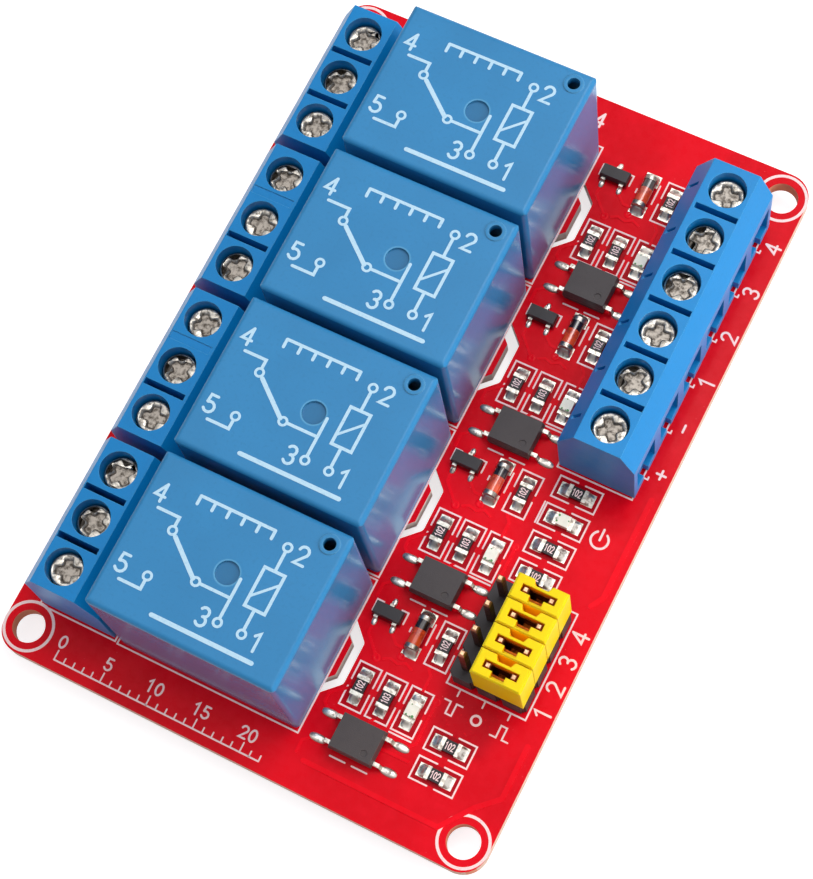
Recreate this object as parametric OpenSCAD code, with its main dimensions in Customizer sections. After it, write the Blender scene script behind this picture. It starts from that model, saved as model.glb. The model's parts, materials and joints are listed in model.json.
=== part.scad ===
// Four-channel relay module board with opto-isolated inputs.
// Frame: origin at the centre of the four mounting holes on the underside of the board,
// X along the short side (outputs at -X, inputs at +X), Y along the long side, Z up.

/* [Board] */
// Short side of the board
board_w = 51; // [50.6:0.1:54]
// Long side of the board
board_l = 75; // [74.8:0.1:80]
// Laminate thickness
board_t = 1.6; // [1:0.1:2.4]
// Corner radius of the board
corner_r = 2.5; // [0.5:0.1:2.6]
// Mounting hole diameter
hole_d = 3.2; // [2.4:0.1:3.6]
// Mounting hole spacing along X
hole_pitch_x = 46; // [45:0.1:46.4]
// Mounting hole spacing along Y
hole_pitch_y = 69.5; // [69:0.1:70.4]
// Gap between neighbouring relays
channel_gap = 0.95; // [0.6:0.05:1.4]
// How far the row of blocks, relays and small parts sits off the middle, towards +X
row_shift = 0.15; // [-0.5:0.05:0.5]
// Width of the isolation slot milled round each common pin
slot_w = 1.1; // [0.8:0.1:1.6]
// Gap between a pin and its hole in the board
hole_gap = 0.15; // [0.1:0.05:0.3]
// Height of a solder joint below the board
solder_h = 1; // [0.6:0.1:1.4]
// Pin length that shows below the board
pin_below = 1.9; // [1.6:0.1:3]

/* [Relay] */
// Length of a relay case
relay_l = 19.1; // [18.8:0.1:19.4]
// Width of a relay case
relay_w = 15.4; // [15:0.1:15.8]
// Height of a relay case
relay_h = 15.2; // [14.4:0.1:16.4]
// Wall of the relay case
relay_wall = 0.8; // [0.5:0.1:0.9]
// Edge radius of the relay case
relay_r = 0.5; // [0.2:0.1:0.8]
// Gap between a relay and its output block
relay_gap = 0.65; // [0.4:0.05:1]
// Thickness of the moulded relay base
base_t = 2.3; // [1.6:0.1:2.6]
// Diameter of the sealing vent in the case top
vent_d = 1.2; // [0.8:0.1:1.6]
// Diameter of the moulding dimple in the case top
dimple_d = 2.2; // [1.6:0.1:3]
// Outer diameter of the coil winding
coil_d = 9.8; // [8:0.1:10.2]
// Room left between the fixed contacts and the case top
top_room = 0.28; // [0.2:0.01:0.8]
// Diameter of the iron core
core_d = 4; // [3:0.1:5]
// Thickness of the iron yoke
yoke_t = 1.1; // [0.8:0.1:1.2]
// Thickness of the armature plate
armature_t = 0.9; // [0.7:0.1:1]
// Angle that the armature swings from open to closed
armature_swing = 3; // [2:0.1:3.2]
// Running gap left at each contact and at the pole face
contact_gap = 0.03; // [0.02:0.01:0.06]

/* [Screw terminals] */
// Pole pitch of the screw terminals
pole_pitch = 5.08; // [5:0.01:5.15]
// Height of the terminal blocks
term_h = 10.1; // [9.6:0.1:11]
// Depth of the terminal blocks from back to wire side
term_depth = 7.8; // [7.7:0.1:8.2]
// Distance from the screw axis to the wire side
term_front = 3.6; // [3.5:0.1:3.8]
// First pole of the input block along Y
in_y = 3.53; // [3.3:0.01:3.8]
// Diameter of the screw wells
well_d = 3.6; // [3.4:0.1:3.8]
// Head diameter of the clamp screws
screw_head_d = 3.3; // [2.8:0.1:3.4]
// Shank diameter of the clamp screws
screw_shank_d = 2.4; // [2:0.1:2.6]
// Depth of the screw heads below the block top
screw_depth = 1.2; // [0.8:0.1:1.6]
// Height of the clamp screw heads
screw_head_h = 1.4; // [1:0.1:1.6]
// Width of the rising cages along the row
cage_w = 3.5; // [3.2:0.1:3.6]
// Sheet thickness of the rising cages
cage_t = 0.5; // [0.4:0.05:0.6]
// Width of the slots between poles
pole_slot_w = 0.6; // [0.4:0.05:0.7]
// Width of the wire entries
entry_w = 3.8; // [3.4:0.1:3.9]

/* [Header and jumpers] */
// Pitch of the pin header
pin_pitch = 2.54; // [2.5:0.01:2.58]
// Side of the square header pins
pin_w = 0.64; // [0.5:0.01:0.7]
// Height of the header strip
strip_h = 2.54; // [2.2:0.01:3]
// Height of the pins above the strip
pin_above = 5.8; // [5:0.1:5.9]
// Centre of the header along Y
header_y = -16.95; // [-17.2:0.05:-16.7]
// Height of a jumper cap
cap_h = 6; // [6:0.1:7]
// Gap between neighbouring jumper caps
cap_gap = 0.1; // [0.06:0.01:0.2]
// Sheet thickness of the jumper clip
clip_t = 0.2; // [0.15:0.01:0.25]

/* [Small parts] */
// Gap between a relay and the optocoupler pads
relay_side_gap = 1.25; // [1:0.05:1.6]
// Gap between the optocoupler pads and the input block
block_side_gap = 0.5; // [0.4:0.05:1]
// Length of the chip resistors and lamps
chip_l = 2; // [1.8:0.1:2.2]
// Width of the chip resistors and lamps
chip_w = 1.25; // [1.1:0.05:1.4]
// Height of the chip resistors
chip_h = 0.5; // [0.4:0.05:0.6]
// Optocoupler body size across its leads
opto_l = 4.4; // [4:0.1:4.6]
// Optocoupler body size along its rows
opto_w = 3.6; // [3.4:0.1:3.8]
// Optocoupler body height
opto_h = 2; // [1.6:0.1:2.2]
// Diameter of the glass diodes
diode_d = 1.4; // [1.2:0.1:1.6]
// Length of the glass diodes over their end caps
diode_l = 3.4; // [3.2:0.1:3.6]

/* [Hidden] */
$fn = 48;
eps = 0.01;
fit = 0.02;
channels = 4;
poles_out = 3;
poles_in = 6;
top = board_t;

channel_pitch = max(relay_w, poles_out * pole_pitch) + channel_gap;
function channel_y(i) = (i - (channels - 1) / 2) * channel_pitch;

// The row across the board: output block, relay, small parts, input block
opto_reach = 0.6;
opto_foot = 0.8;
opto_pad = 0.8;
opto_span = opto_l + 2 * (opto_reach + opto_foot + opto_pad);
parts_w = relay_side_gap + opto_span + block_side_gap;
row_l = 2 * term_depth + relay_gap + relay_l + parts_w;
out_x = row_shift - row_l / 2 + term_front;
in_x = row_shift + row_l / 2 - term_front;
term_back = term_front - term_depth;
relay_x = out_x - term_back + relay_gap + relay_l / 2;
relay_end = relay_x + relay_l / 2;

// Pin sections
com_pin = [0.8, 1.2];
coil_pin_d = 0.7;
blade = [1.4, 0.4];
strip_pin = [0.5, 0.9];

// Places within a relay, from the case centre
cavity_l = relay_l - 2 * relay_wall;
cavity_w = relay_w - 2 * relay_wall;
yoke_room = 0.85;
yoke_x = cavity_l / 2 - yoke_room - yoke_t;
com_dx = yoke_x + 0.3;
coil_dx = com_dx - 2;
blade_room = 0.95;
contact_dx = blade_room + blade[0] / 2 - cavity_l / 2;
side_dy = cavity_w / 2 - 0.9;

// Heights inside a relay, from the board top
base_lift = 0.3;
yoke_z = base_lift + base_t;
flange_t = 0.8;
flange_z = yoke_z + yoke_t;
coil_z = flange_z + flange_t;
coil_room = 0.6;
coil_x = yoke_x - coil_room - coil_d / 2;
tube_d = core_d + 1.4;
pole_d = core_d + 2.6;
pole_t = 0.5;
pole_reach = yoke_x - coil_x + pole_d / 2;
armature_w = 8.6;
armature_over = 1.4;
armature_tip = coil_x - pole_d / 2 - armature_over;
leaf_t = 0.2;
leaf_w = 2.4;
leaf_end_d = 2.6;
button_d = 1.7;
button_h = 0.35;
armature_z = relay_h - relay_wall - top_room - 2 * button_h - contact_gap - leaf_t
    - armature_t;
leaf_z = armature_z + armature_t;
pole_z = armature_z - contact_gap - pole_reach * tan(armature_swing) - pole_t;
coil_h = pole_z - flange_t - coil_z;
contact_drop = (yoke_x - contact_dx + button_d / 2) * tan(armature_swing);

// Isolation slot, from the channel centre
slot_x = relay_x + com_dx + 3.7;
slot_half = 1.92;
slot_arm = 3.4;

// Terminal block profile, from the screw axis, wire side positive
flat_front = term_front - 1.4;
flat_back = term_back + 1.75;
chamfer_z = term_h - 2.9;
slope_z = term_h - 3.3;
pin_s = term_back + 1.55;
cage_l = 3.8;
cage_play = 0.1;
chamber_w = cage_w + cage_play;
chamber_top = term_h - screw_depth - screw_head_h - 0.6;
chamber_front = cage_l / 2 + 0.2;
chamber_back = pin_s - strip_pin[0] / 2 - cage_play;
floor_t = 0.6;
cage_z = 1;
cage_top_t = 1;
cage_h = chamber_top - 0.4 - cage_z;
wire_room = 2;
plate_t = 0.8;
plate_w = cage_w - 2 * cage_t - 0.3;
plate_z = cage_z + cage_t + wire_room;
plate_end = chamber_front - 0.4;
entry_z = floor_t + 0.6;
entry_h = 4.4;
mouth_t = 0.8;
throat_w = entry_w - 0.8;
throat_h = 3.2;
notch_w = 1;
slit_w = 0.4;
slit_h = 1.9;
pole_slot_h = 6;
mark_w = 0.8;
mark_depth = 0.12;

// Header and jumper cap
header_x = in_x - 0.4;
strip_notch = 0.7;
cap_l = 2 * pin_pitch - cap_gap;
cap_w = pin_pitch - cap_gap;
cap_z = top + strip_h + fit;
cap_wall = 0.54;
clip_l = cap_l - 2 * cap_wall;
clip_h = 4.2;
clip_z = 0.4;
clip_in = pin_w / 2 + fit;
clip_out = clip_in + clip_t;
window_z = clip_z + clip_h + 0.1;
window_l = pin_pitch + pin_w + 0.22;
window_w = pin_w + 0.12;
groove_w = 1.36;
groove_flare = 0.25;
groove_t = 0.36;
groove_step = 0.24;
cap_step = 0.2;

// Small part places: along X, and along Y from the channel centre
opto_x = relay_end + relay_side_gap + opto_span / 2;
opto_dy = -6.35;
opto_pitch = 2.54;
chip_pitch = 2.7;
chip_x = [for (k = [-1:1]) opto_x + 0.4 + k * chip_pitch];
lower_dy = -1.7;
upper_dy = 5.05;
transistor_x = chip_x[0] - 0.75;
transistor_dy = 5.6;
extra_x = in_x - 1.35;
extra_y = [-30.6, -27.65, -9.95, -6.95, -1.0];
power_y = -3.97;
pad_lift = 0.05;
cap_end = 0.4;
skin = 0.05;

// ---- outlines and blocks shared by several pieces ----

// Rectangle with round corners, centred
module round_rect(l, w, r) {
    square([l, w - 2 * r], center = true);
    square([l - 2 * r, w], center = true);
    for (x = [-1, 1], y = [-1, 1])
        translate([x * (l / 2 - r), y * (w / 2 - r)]) circle(r);
}

// Upright outline with its two top corners rounded
module arch(l, h, r) {
    translate([-l / 2, 0]) square([l, h - r]);
    translate([-l / 2 + r, 0]) square([l - 2 * r, h]);
    for (x = [-1, 1]) translate([x * (l / 2 - r), h - r]) circle(r);
}

// Moulded case outside: upright and top edges rounded
module case_block(l, w, h, r) {
    intersection() {
        linear_extrude(h) round_rect(l, w, r);
        rotate([90, 0, 0]) linear_extrude(w + 1, center = true) arch(l, h, r);
        rotate([90, 0, 90]) linear_extrude(l + 1, center = true) arch(w, h, r);
    }
}

// Block centred in X and Y, standing on z = 0
module block(l, w, h) { translate([-l / 2, -w / 2, 0]) cube([l, w, h]); }

// ---- places ----

module at_relay(i) { translate([relay_x, channel_y(i), top]) children(); }
module each_relay() { for (i = [0:channels - 1]) at_relay(i) children(); }

// Output poles look towards -X, input poles towards +X
module at_output(i) {
    translate([out_x, channel_y(i), top]) rotate([0, 0, 180]) children();
}
module at_input() {
    translate([in_x, in_y + (poles_in - 1) / 2 * pole_pitch, top]) children();
}
module each_pole(n) {
    for (k = [0:n - 1]) translate([0, (k - (n - 1) / 2) * pole_pitch, 0]) children();
}
module each_output_pole() {
    for (i = [0:channels - 1]) at_output(i) each_pole(poles_out) children();
}
module each_input_pole() { at_input() each_pole(poles_in) children(); }
module each_header_pin() {
    for (c = [-1:1], r = [0:channels - 1])
        translate([header_x + c * pin_pitch, header_y + (r - (channels - 1) / 2) * pin_pitch, 0])
            children();
}
module at_jumper(i) {
    translate([header_x + pin_pitch / 2,
               header_y + (i - (channels - 1) / 2) * pin_pitch, cap_z]) children();
}

// Chips laid along Y: the two resistors and the lamp of a channel, then its upper resistor
module each_resistor() {
    for (i = [0:channels - 1]) {
        for (k = [0, 1])
            translate([chip_x[k], channel_y(i) + lower_dy, top]) rotate([0, 0, 90]) children();
        translate([chip_x[2], channel_y(i) + upper_dy, top]) rotate([0, 0, 90]) children();
    }
    for (y = extra_y) translate([extra_x, y, top]) children();
}
module each_lamp() {
    for (i = [0:channels - 1])
        translate([chip_x[2], channel_y(i) + lower_dy, top]) rotate([0, 0, 90]) children();
    translate([extra_x, power_y, top]) children();
}
module each_opto() {
    for (i = [0:channels - 1]) translate([opto_x, channel_y(i) + opto_dy, top]) children();
}
module each_transistor() {
    for (i = [0:channels - 1])
        translate([transistor_x, channel_y(i) + transistor_dy, top]) children();
}
module each_diode() {
    for (i = [0:channels - 1])
        translate([chip_x[1], channel_y(i) + upper_dy, top + diode_d / 2]) rotate([-90, 0, 0])
            children();
}

// ---- pins that go through the board, as sections ----

// Pin sections of one relay, grown by g
module relay_pins(z, h, g) {
    translate([com_dx, 0, z]) block(com_pin[0] + 2 * g, com_pin[1] + 2 * g, h);
    for (s = [-1, 1]) {
        translate([coil_dx, s * side_dy, z]) cylinder(h, d = coil_pin_d + 2 * g);
        translate([contact_dx, s * side_dy, z]) block(blade[0] + 2 * g, blade[1] + 2 * g, h);
    }
}

// Every pin that goes through the board, as an upright solid
module pin_field(z, h) {
    each_relay() relay_pins(z - top, h, 0);
    translate([0, 0, z]) {
        translate([0, 0, -top]) {
            each_output_pole() translate([pin_s, 0, 0]) block(strip_pin[0], strip_pin[1], h);
            each_input_pole() translate([pin_s, 0, 0]) block(strip_pin[0], strip_pin[1], h);
        }
        each_header_pin() block(pin_w, pin_w, h);
    }
}

// Round hole that clears a pin of section a x b
module drill(a, b) {
    translate([0, 0, -top - 1]) cylinder(board_t + 2, d = norm([a, b]) + 2 * hole_gap);
}
module drilled_holes() {
    each_relay() {
        translate([com_dx, 0, 0]) drill(com_pin[0], com_pin[1]);
        for (s = [-1, 1]) {
            translate([coil_dx, s * side_dy, 0]) drill(coil_pin_d, 0);
            translate([contact_dx, s * side_dy, 0]) drill(blade[0], blade[1]);
        }
    }
    each_output_pole() translate([pin_s, 0, 0]) drill(strip_pin[0], strip_pin[1]);
    each_input_pole() translate([pin_s, 0, 0]) drill(strip_pin[0], strip_pin[1]);
    translate([0, 0, top]) each_header_pin() drill(pin_w, pin_w);
}

// Solder cones on the underside, one at each pin
module solder_cone(r) {
    translate([0, 0, -solder_h]) cylinder(solder_h, r1 = r * 0.5, r2 = r);
}

// ---- board ----

module isolation_slot() {
    translate([slot_x, 0]) square([slot_w, 2 * slot_half], center = true);
    for (s = [-1, 1]) translate([slot_x, s * slot_half]) {
        circle(d = slot_w);
        rotate(s * 135) translate([0, -slot_w / 2]) square([slot_arm, slot_w]);
        rotate(s * 135) translate([slot_arm, 0]) circle(d = slot_w);
    }
}

module pcb() {
    color("crimson") difference() {
        linear_extrude(board_t) difference() {
            round_rect(board_w, board_l, corner_r);
            for (i = [0:channels - 1]) translate([0, channel_y(i)]) isolation_slot();
        }
        for (x = [-1, 1], y = [-1, 1])
            translate([x * hole_pitch_x / 2, y * hole_pitch_y / 2, -1])
                cylinder(board_t + 2, d = hole_d);
        drilled_holes();
    }
}

module solder_joints() {
    color("silver") difference() {
        union() {
            translate([0, 0, -top]) {
                each_relay() {
                    translate([com_dx, 0, 0]) solder_cone(1.5);
                    for (s = [-1, 1]) {
                        translate([coil_dx, s * side_dy, 0]) solder_cone(1.2);
                        translate([contact_dx, s * side_dy, 0]) solder_cone(1.5);
                    }
                }
                each_output_pole() translate([pin_s, 0, 0]) solder_cone(1.3);
                each_input_pole() translate([pin_s, 0, 0]) solder_cone(1.3);
            }
            each_header_pin() solder_cone(0.9);
        }
        pin_field(-solder_h - 1, solder_h + 2);
    }
}

// ---- relay ----

vent_dx = relay_l / 2 - 1.75;
vent_dy = relay_w / 2 - 1.55;
vent_lip = 0.35;
dimple_dx = 0.85;
dimple_depth = 0.25;

// Open-bottomed case with its raised vent lip, vent and moulding dimple
module relay_cover() {
    color("steelblue") difference() {
        union() {
            case_block(relay_l, relay_w, relay_h, relay_r);
            translate([vent_dx, vent_dy, relay_h - 0.1])
                cylinder(0.2, d = vent_d + 2 * vent_lip);
        }
        translate([0, 0, -1]) block(cavity_l, cavity_w, relay_h - relay_wall + 1);
        translate([vent_dx, vent_dy, relay_h - relay_wall - 1])
            cylinder(relay_wall + 3, d = vent_d);
        translate([dimple_dx, 0, relay_h - dimple_depth]) cylinder(1, d = dimple_d);
    }
}

// Moulded base: plate with feet, a rib round its edge and holes for the pins
module relay_base() {
    difference() {
        union() {
            translate([0, 0, base_lift])
                block(cavity_l - 2 * fit, cavity_w - 2 * fit, base_t);
            for (x = [-1, 1], y = [-1, 1])
                translate([x * (cavity_l / 2 - 1.5), y * (cavity_w / 2 - 1.5), 0])
                    block(1.6, 1.6, base_lift + eps);
        }
        relay_pins(-1, base_t + 3, fit);
    }
}

// Coil former: lower flange with lugs for the coil pins, tube and upper flange
module relay_bobbin() {
    difference() {
        union() {
            translate([coil_x, 0, flange_z]) linear_extrude(flange_t)
                round_rect(coil_d + 1, cavity_w - 0.6, 1);
            translate([coil_x, 0, coil_z - eps]) cylinder(coil_h + 2 * eps, d = tube_d);
            translate([coil_x, 0, coil_z + coil_h]) linear_extrude(flange_t)
                round_rect(coil_d + 0.6, coil_d + 1, 1);
        }
        translate([coil_x, 0, flange_z - 1])
            cylinder(coil_h + 2 * flange_t + 2, d = core_d + 2 * fit);
        relay_pins(flange_z - 1, flange_t + 2, fit);
    }
}

module relay_winding() {
    translate([coil_x, 0, coil_z + fit]) difference() {
        cylinder(coil_h - 2 * fit, d = coil_d);
        translate([0, 0, -1]) cylinder(coil_h + 2, d = tube_d + 2 * fit);
    }
}

// Iron core, staked into the yoke, with its wider pole face
module relay_core() {
    translate([coil_x, 0, yoke_z]) cylinder(pole_z - yoke_z + eps, d = core_d);
    translate([coil_x, 0, pole_z + fit]) cylinder(pole_t - fit, d = pole_d);
}

yoke_foot = 3.4;
// L-shaped yoke: foot under the coil, leg up to the armature's edge
module relay_yoke() {
    difference() {
        union() {
            translate([coil_x - yoke_foot, -armature_w / 2, yoke_z])
                cube([yoke_x + yoke_t - coil_x + yoke_foot, armature_w, yoke_t]);
            translate([yoke_x, -armature_w / 2, yoke_z])
                cube([yoke_t, armature_w, armature_z - yoke_z]);
        }
        translate([coil_x, 0, yoke_z - 1]) cylinder(yoke_t + 2, d = core_d);
    }
}

// Iron plate that rocks on the inner edge of the yoke
module relay_armature() {
    color("dimgray") difference() {
        translate([0, 0, armature_z + fit]) linear_extrude(armature_t - fit) difference() {
            translate([armature_tip, -armature_w / 2])
                square([yoke_x + yoke_t - armature_tip, armature_w]);
            for (s = [-1, 1])
                translate([armature_tip, s * armature_w / 2]) rotate(45)
                    square(2, center = true);
        }
    }
}

// Leaf riveted on the armature, carrying the moving contact at its free end
module relay_contact_spring() {
    color("goldenrod") {
        translate([0, 0, leaf_z]) linear_extrude(leaf_t) {
            translate([contact_dx, 0]) circle(d = leaf_end_d);
            translate([contact_dx, -leaf_w / 2])
                square([yoke_x - contact_dx - 2, leaf_w]);
        }
        for (x = [armature_tip + 2, yoke_x - 3])
            translate([x, 0, leaf_z + leaf_t - eps]) cylinder(0.25, d = 1);
        translate([contact_dx, 0, leaf_z - button_h]) cylinder(button_h + eps, d = button_d);
        translate([contact_dx, 0, leaf_z + leaf_t - eps])
            cylinder(button_h + eps, d = button_d);
    }
}

nc_z = leaf_z + leaf_t + button_h + contact_gap;
no_z = leaf_z - button_h - contact_drop - contact_gap;
blade_t = 0.25;

// Fixed contact: pin through the base, upright blade and arm in over the middle
module fixed_contact(s, z, button) {
    translate([contact_dx, s * side_dy, -top - pin_below])
        block(blade[0], blade[1], top + pin_below + z);
    translate([contact_dx - blade[0] / 2, s > 0 ? -0.8 : -side_dy - blade[1] / 2, z - eps])
        cube([blade[0], side_dy + blade[1] / 2 + 0.8, blade_t + eps]);
    translate([contact_dx, 0, button]) cylinder(button_h, d = button_d);
}

module relay_coil_pin_pair() {
    for (s = [-1, 1])
        translate([coil_dx, s * side_dy, -top - pin_below])
            cylinder(top + pin_below + coil_z + 0.8, d = coil_pin_d);
}

module relay_com_pin() {
    translate([com_dx, 0, -top - pin_below])
        block(com_pin[0], com_pin[1], top + pin_below + yoke_z);
}

module relay_bases() { color("midnightblue") each_relay() relay_base(); }
module relay_bobbins() { color("ivory") each_relay() relay_bobbin(); }
module relay_windings() { color("peru") each_relay() relay_winding(); }
module relay_cores() { color("gray") each_relay() relay_core(); }
module relay_yokes() { color("lightgray") each_relay() relay_yoke(); }
module relay_nc_contacts() {
    color("gold") each_relay() fixed_contact(1, nc_z + 0.1, nc_z);
}
module relay_no_contacts() {
    color("gold") each_relay() fixed_contact(-1, no_z - button_h - blade_t + eps,
                                             no_z - button_h);
}
module relay_coil_pins() { color("silver") each_relay() relay_coil_pin_pair(); }
module relay_com_pins() { color("silver") each_relay() relay_com_pin(); }

// ---- screw terminals ----

// Outline of a terminal block seen along its row
module terminal_profile() {
    polygon([[term_back, 0], [term_front, 0], [term_front, chamfer_z], [flat_front, term_h],
             [flat_back, term_h], [term_back, slope_z]]);
}

// What is hollow at one pole
module pole_hollow() {
    translate([chamber_back, -chamber_w / 2, floor_t])
        cube([chamber_front - chamber_back, chamber_w, chamber_top - floor_t]);
    translate([0, 0, chamber_top - eps]) cylinder(term_h, d = well_d);
    // wire entry with its wider mouth and the notch in its lower lip
    translate([chamber_front - eps, -throat_w / 2, entry_z + 0.2])
        cube([term_front, throat_w, throat_h]);
    translate([term_front - mouth_t, -entry_w / 2, entry_z]) cube([mouth_t + 1, entry_w, entry_h]);
    translate([term_front - 0.6, -notch_w / 2, -1]) cube([notch_w, notch_w, entry_z + 1.4]);
    // hole for the solder pin and the slit in the sloping back
    translate([pin_s, 0, -1]) block(strip_pin[0] + 2 * fit, strip_pin[1] + 2 * fit, floor_t + 1.4);
    translate([term_back, -slit_w / 2, slope_z + 0.5]) cube([1.3, slit_w, slit_h]);
}

// Block of n poles; the dividing slots named in shallow are only lightly marked
module terminal_block(n, shallow) {
    difference() {
        rotate([90, 0, 0]) linear_extrude(n * pole_pitch, center = true) terminal_profile();
        each_pole(n) pole_hollow();
        for (k = [1:n - 1])
            let (deep = len(search(k, shallow)) == 0, w = deep ? pole_slot_w : mark_w)
            translate([flat_back + 0.3, (k - n / 2) * pole_pitch - w / 2,
                       term_h - (deep ? pole_slot_h : mark_depth)])
                cube([flat_front - flat_back - 0.4, w, pole_slot_h + 1]);
    }
}

// Clamp screw: cheese head with a cross slot, threaded shank down to the plate
module clamp_screw() {
    head_z = term_h - screw_depth - screw_head_h;
    difference() {
        union() {
            translate([0, 0, head_z]) cylinder(screw_head_h, d = screw_head_d);
            translate([0, 0, plate_z + plate_t + fit])
                cylinder(head_z - plate_z - plate_t, d = screw_shank_d);
        }
        for (a = [0, 90]) rotate(a + 45)
            translate([0, 0, head_z + screw_head_h - 0.6])
                block(a == 0 ? screw_head_d + 1 : screw_head_d - 0.9, 0.6, 2);
    }
}

// Rising cage: a square tube open along the wire, tapped through its thick top
module clamp_cage() {
    translate([0, 0, cage_z]) difference() {
        block(cage_l, cage_w, cage_h);
        translate([0, 0, cage_t])
            block(cage_l + 2, cage_w - 2 * cage_t, cage_h - cage_t - cage_top_t);
        translate([0, 0, cage_h / 2]) cylinder(cage_h, d = screw_shank_d + 2 * fit);
    }
}

// Contact plate bent from the same strip as its solder pin
module terminal_pin() {
    translate([pin_s, 0, -top - pin_below])
        block(strip_pin[0], strip_pin[1], top + pin_below + plate_z + plate_t);
    translate([pin_s - strip_pin[0] / 2, -plate_w / 2, plate_z])
        cube([plate_end - pin_s + strip_pin[0] / 2, plate_w, plate_t]);
}

// Dividing slots that are left shallow, counted from the right-hand end of each block
output_shallow = [[], [1], [1], []];

module output_terminal(i) {
    color("dodgerblue") at_output(i) terminal_block(poles_out, output_shallow[i]);
}
module input_terminal() { color("dodgerblue") at_input() terminal_block(poles_in, []); }
module output_clamp_screws() { color("lightgray") each_output_pole() clamp_screw(); }
module output_clamp_cages() { color("khaki") each_output_pole() clamp_cage(); }
module output_terminal_pins() { color("silver") each_output_pole() terminal_pin(); }
module input_clamp_screws() { color("lightgray") each_input_pole() clamp_screw(); }
module input_clamp_cages() { color("khaki") each_input_pole() clamp_cage(); }
module input_terminal_pins() { color("silver") each_input_pole() terminal_pin(); }

// ---- header and jumpers ----

module header_strip() {
    color("black") difference() {
        translate([header_x, header_y, top]) for (c = [-1:1], r = [0:channels - 1])
            translate([c * pin_pitch, (r - (channels - 1) / 2) * pin_pitch, 0])
                linear_extrude(strip_h) union() {
                    square([pin_pitch + eps, pin_pitch - strip_notch], center = true);
                    square([pin_pitch - strip_notch, pin_pitch + eps], center = true);
                    square(pin_pitch - strip_notch / 2, center = true);
                }
        translate([0, 0, top - 1]) each_header_pin() block(pin_w, pin_w, strip_h + 2);
    }
}

module header_pins() {
    color("gainsboro") each_header_pin() {
        translate([0, 0, -pin_below]) block(pin_w, pin_w, pin_below + top + strip_h + pin_above);
    }
}

module finger_groove(z, t) {
    translate([0, cap_w / 2, z]) linear_extrude(cap_h) polygon([
        [-groove_w / 2 - groove_flare, 1], [-groove_w / 2 - groove_flare, 0],
        [-groove_w / 2, -t], [groove_w / 2, -t],
        [groove_w / 2 + groove_flare, 0], [groove_w / 2 + groove_flare, 1]]);
}

// Cap moulded round its clip: T-shaped window in the top, finger groove on the far side
module jumper_cap(i) {
    color("gold") at_jumper(i) difference() {
        union() {
            linear_extrude(cap_h - cap_step) square([cap_l, cap_w], center = true);
            translate([0, 0, cap_h - cap_step - eps]) linear_extrude(cap_step + eps)
                square([cap_l - 0.3, cap_w - cap_step], center = true);
        }
        translate([0, 0, -1]) block(clip_l + 0.1, 2 * clip_out + 2 * fit, window_z + 1);
        translate([0, 0, window_z - eps]) block(window_l, window_w, cap_h);
        translate([-groove_w / 2, cap_step - cap_w / 2, window_z - eps])
            cube([groove_w, cap_w / 2 - cap_step, cap_h]);
        finger_groove(1, groove_t);
        finger_groove(window_z + 0.2, groove_t + groove_step);
    }
}

// Folded clip: two spring leaves joined between the pins
module jumper_clip(i) {
    color("khaki") at_jumper(i) translate([0, 0, clip_z]) {
        for (s = [-1, 1])
            translate([-clip_l / 2, s > 0 ? clip_in : -clip_out, 0])
                cube([clip_l, clip_t, clip_h]);
        translate([-0.5, -clip_in - eps, clip_h / 2]) cube([1, 2 * clip_in + 2 * eps, clip_t]);
    }
}

// ---- small parts ----

// Moulded body with drafted sides above and below its parting line
module moulded_body(l, w, h, draft) {
    intersection() {
        rotate([90, 0, 0]) linear_extrude(w, center = true)
            polygon([[-l / 2 + draft, 0], [l / 2 - draft, 0], [l / 2, h / 2],
                     [l / 2 - draft, h], [-l / 2 + draft, h], [-l / 2, h / 2]]);
        rotate([90, 0, 90]) linear_extrude(l, center = true)
            polygon([[-w / 2 + draft, 0], [w / 2 - draft, 0], [w / 2, h / 2],
                     [w / 2 - draft, h], [-w / 2 + draft, h], [-w / 2, h / 2]]);
    }
}

// Gull-wing lead: out of the body at height h, down and out to its foot
module gull_lead(h, reach, foot, w, t) {
    rotate([90, 0, 0]) linear_extrude(w, center = true)
        polygon([[0, h - t], [reach - t, h - t], [reach, 0], [reach + foot, 0],
                 [reach + foot, t], [reach + t, t], [reach, h], [0, h]]);
}

opto_mid = opto_h / 2 + 0.1;
module optocoupler_bodies() {
    color("darkslategray") each_opto() translate([0, 0, 0.1]) difference() {
        moulded_body(opto_l, opto_w, opto_h, 0.12);
        translate([opto_l / 2 - 1, -opto_w / 2 + 0.8, opto_h - 0.1]) cylinder(1, d = 0.7);
    }
}
module optocoupler_leads() {
    color("silver") each_opto() for (a = [0, 180], s = [-1, 1])
        rotate([0, 0, a]) translate([opto_l / 2, s * opto_pitch / 2, pad_lift])
            gull_lead(opto_mid - pad_lift, opto_reach, opto_foot, 0.4, 0.2);
}

transistor_l = 2.9;
transistor_w = 1.3;
transistor_h = 1;
module transistor_bodies() {
    color("darkslategray") each_transistor() translate([0, 0, 0.1])
        moulded_body(transistor_l, transistor_w, transistor_h, 0.08);
}
module transistor_leads() {
    color("silver") each_transistor() {
        for (p = [[0, 90], [-0.95, -90], [0.95, -90]])
            translate([p[0], sign(p[1]) * transistor_w / 2, pad_lift]) rotate([0, 0, p[1]])
                gull_lead(transistor_h / 2 + 0.05, 0.25, 0.35, 0.42, 0.13);
    }
}

diode_cap_l = 0.45;
module diode_glasses() {
    color("orangered") each_diode() difference() {
        cylinder(diode_l - 2 * skin, d = diode_d - 2 * skin, center = true);
    }
}
module diode_end_caps() {
    color("silver") each_diode() for (s = [-1, 1])
        translate([0, 0, s * (diode_l - diode_cap_l) / 2]) difference() {
            cylinder(diode_cap_l, d = diode_d, center = true);
            translate([0, 0, -s * skin])
                cylinder(diode_cap_l, d = diode_d - 2 * skin, center = true);
        }
}

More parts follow.
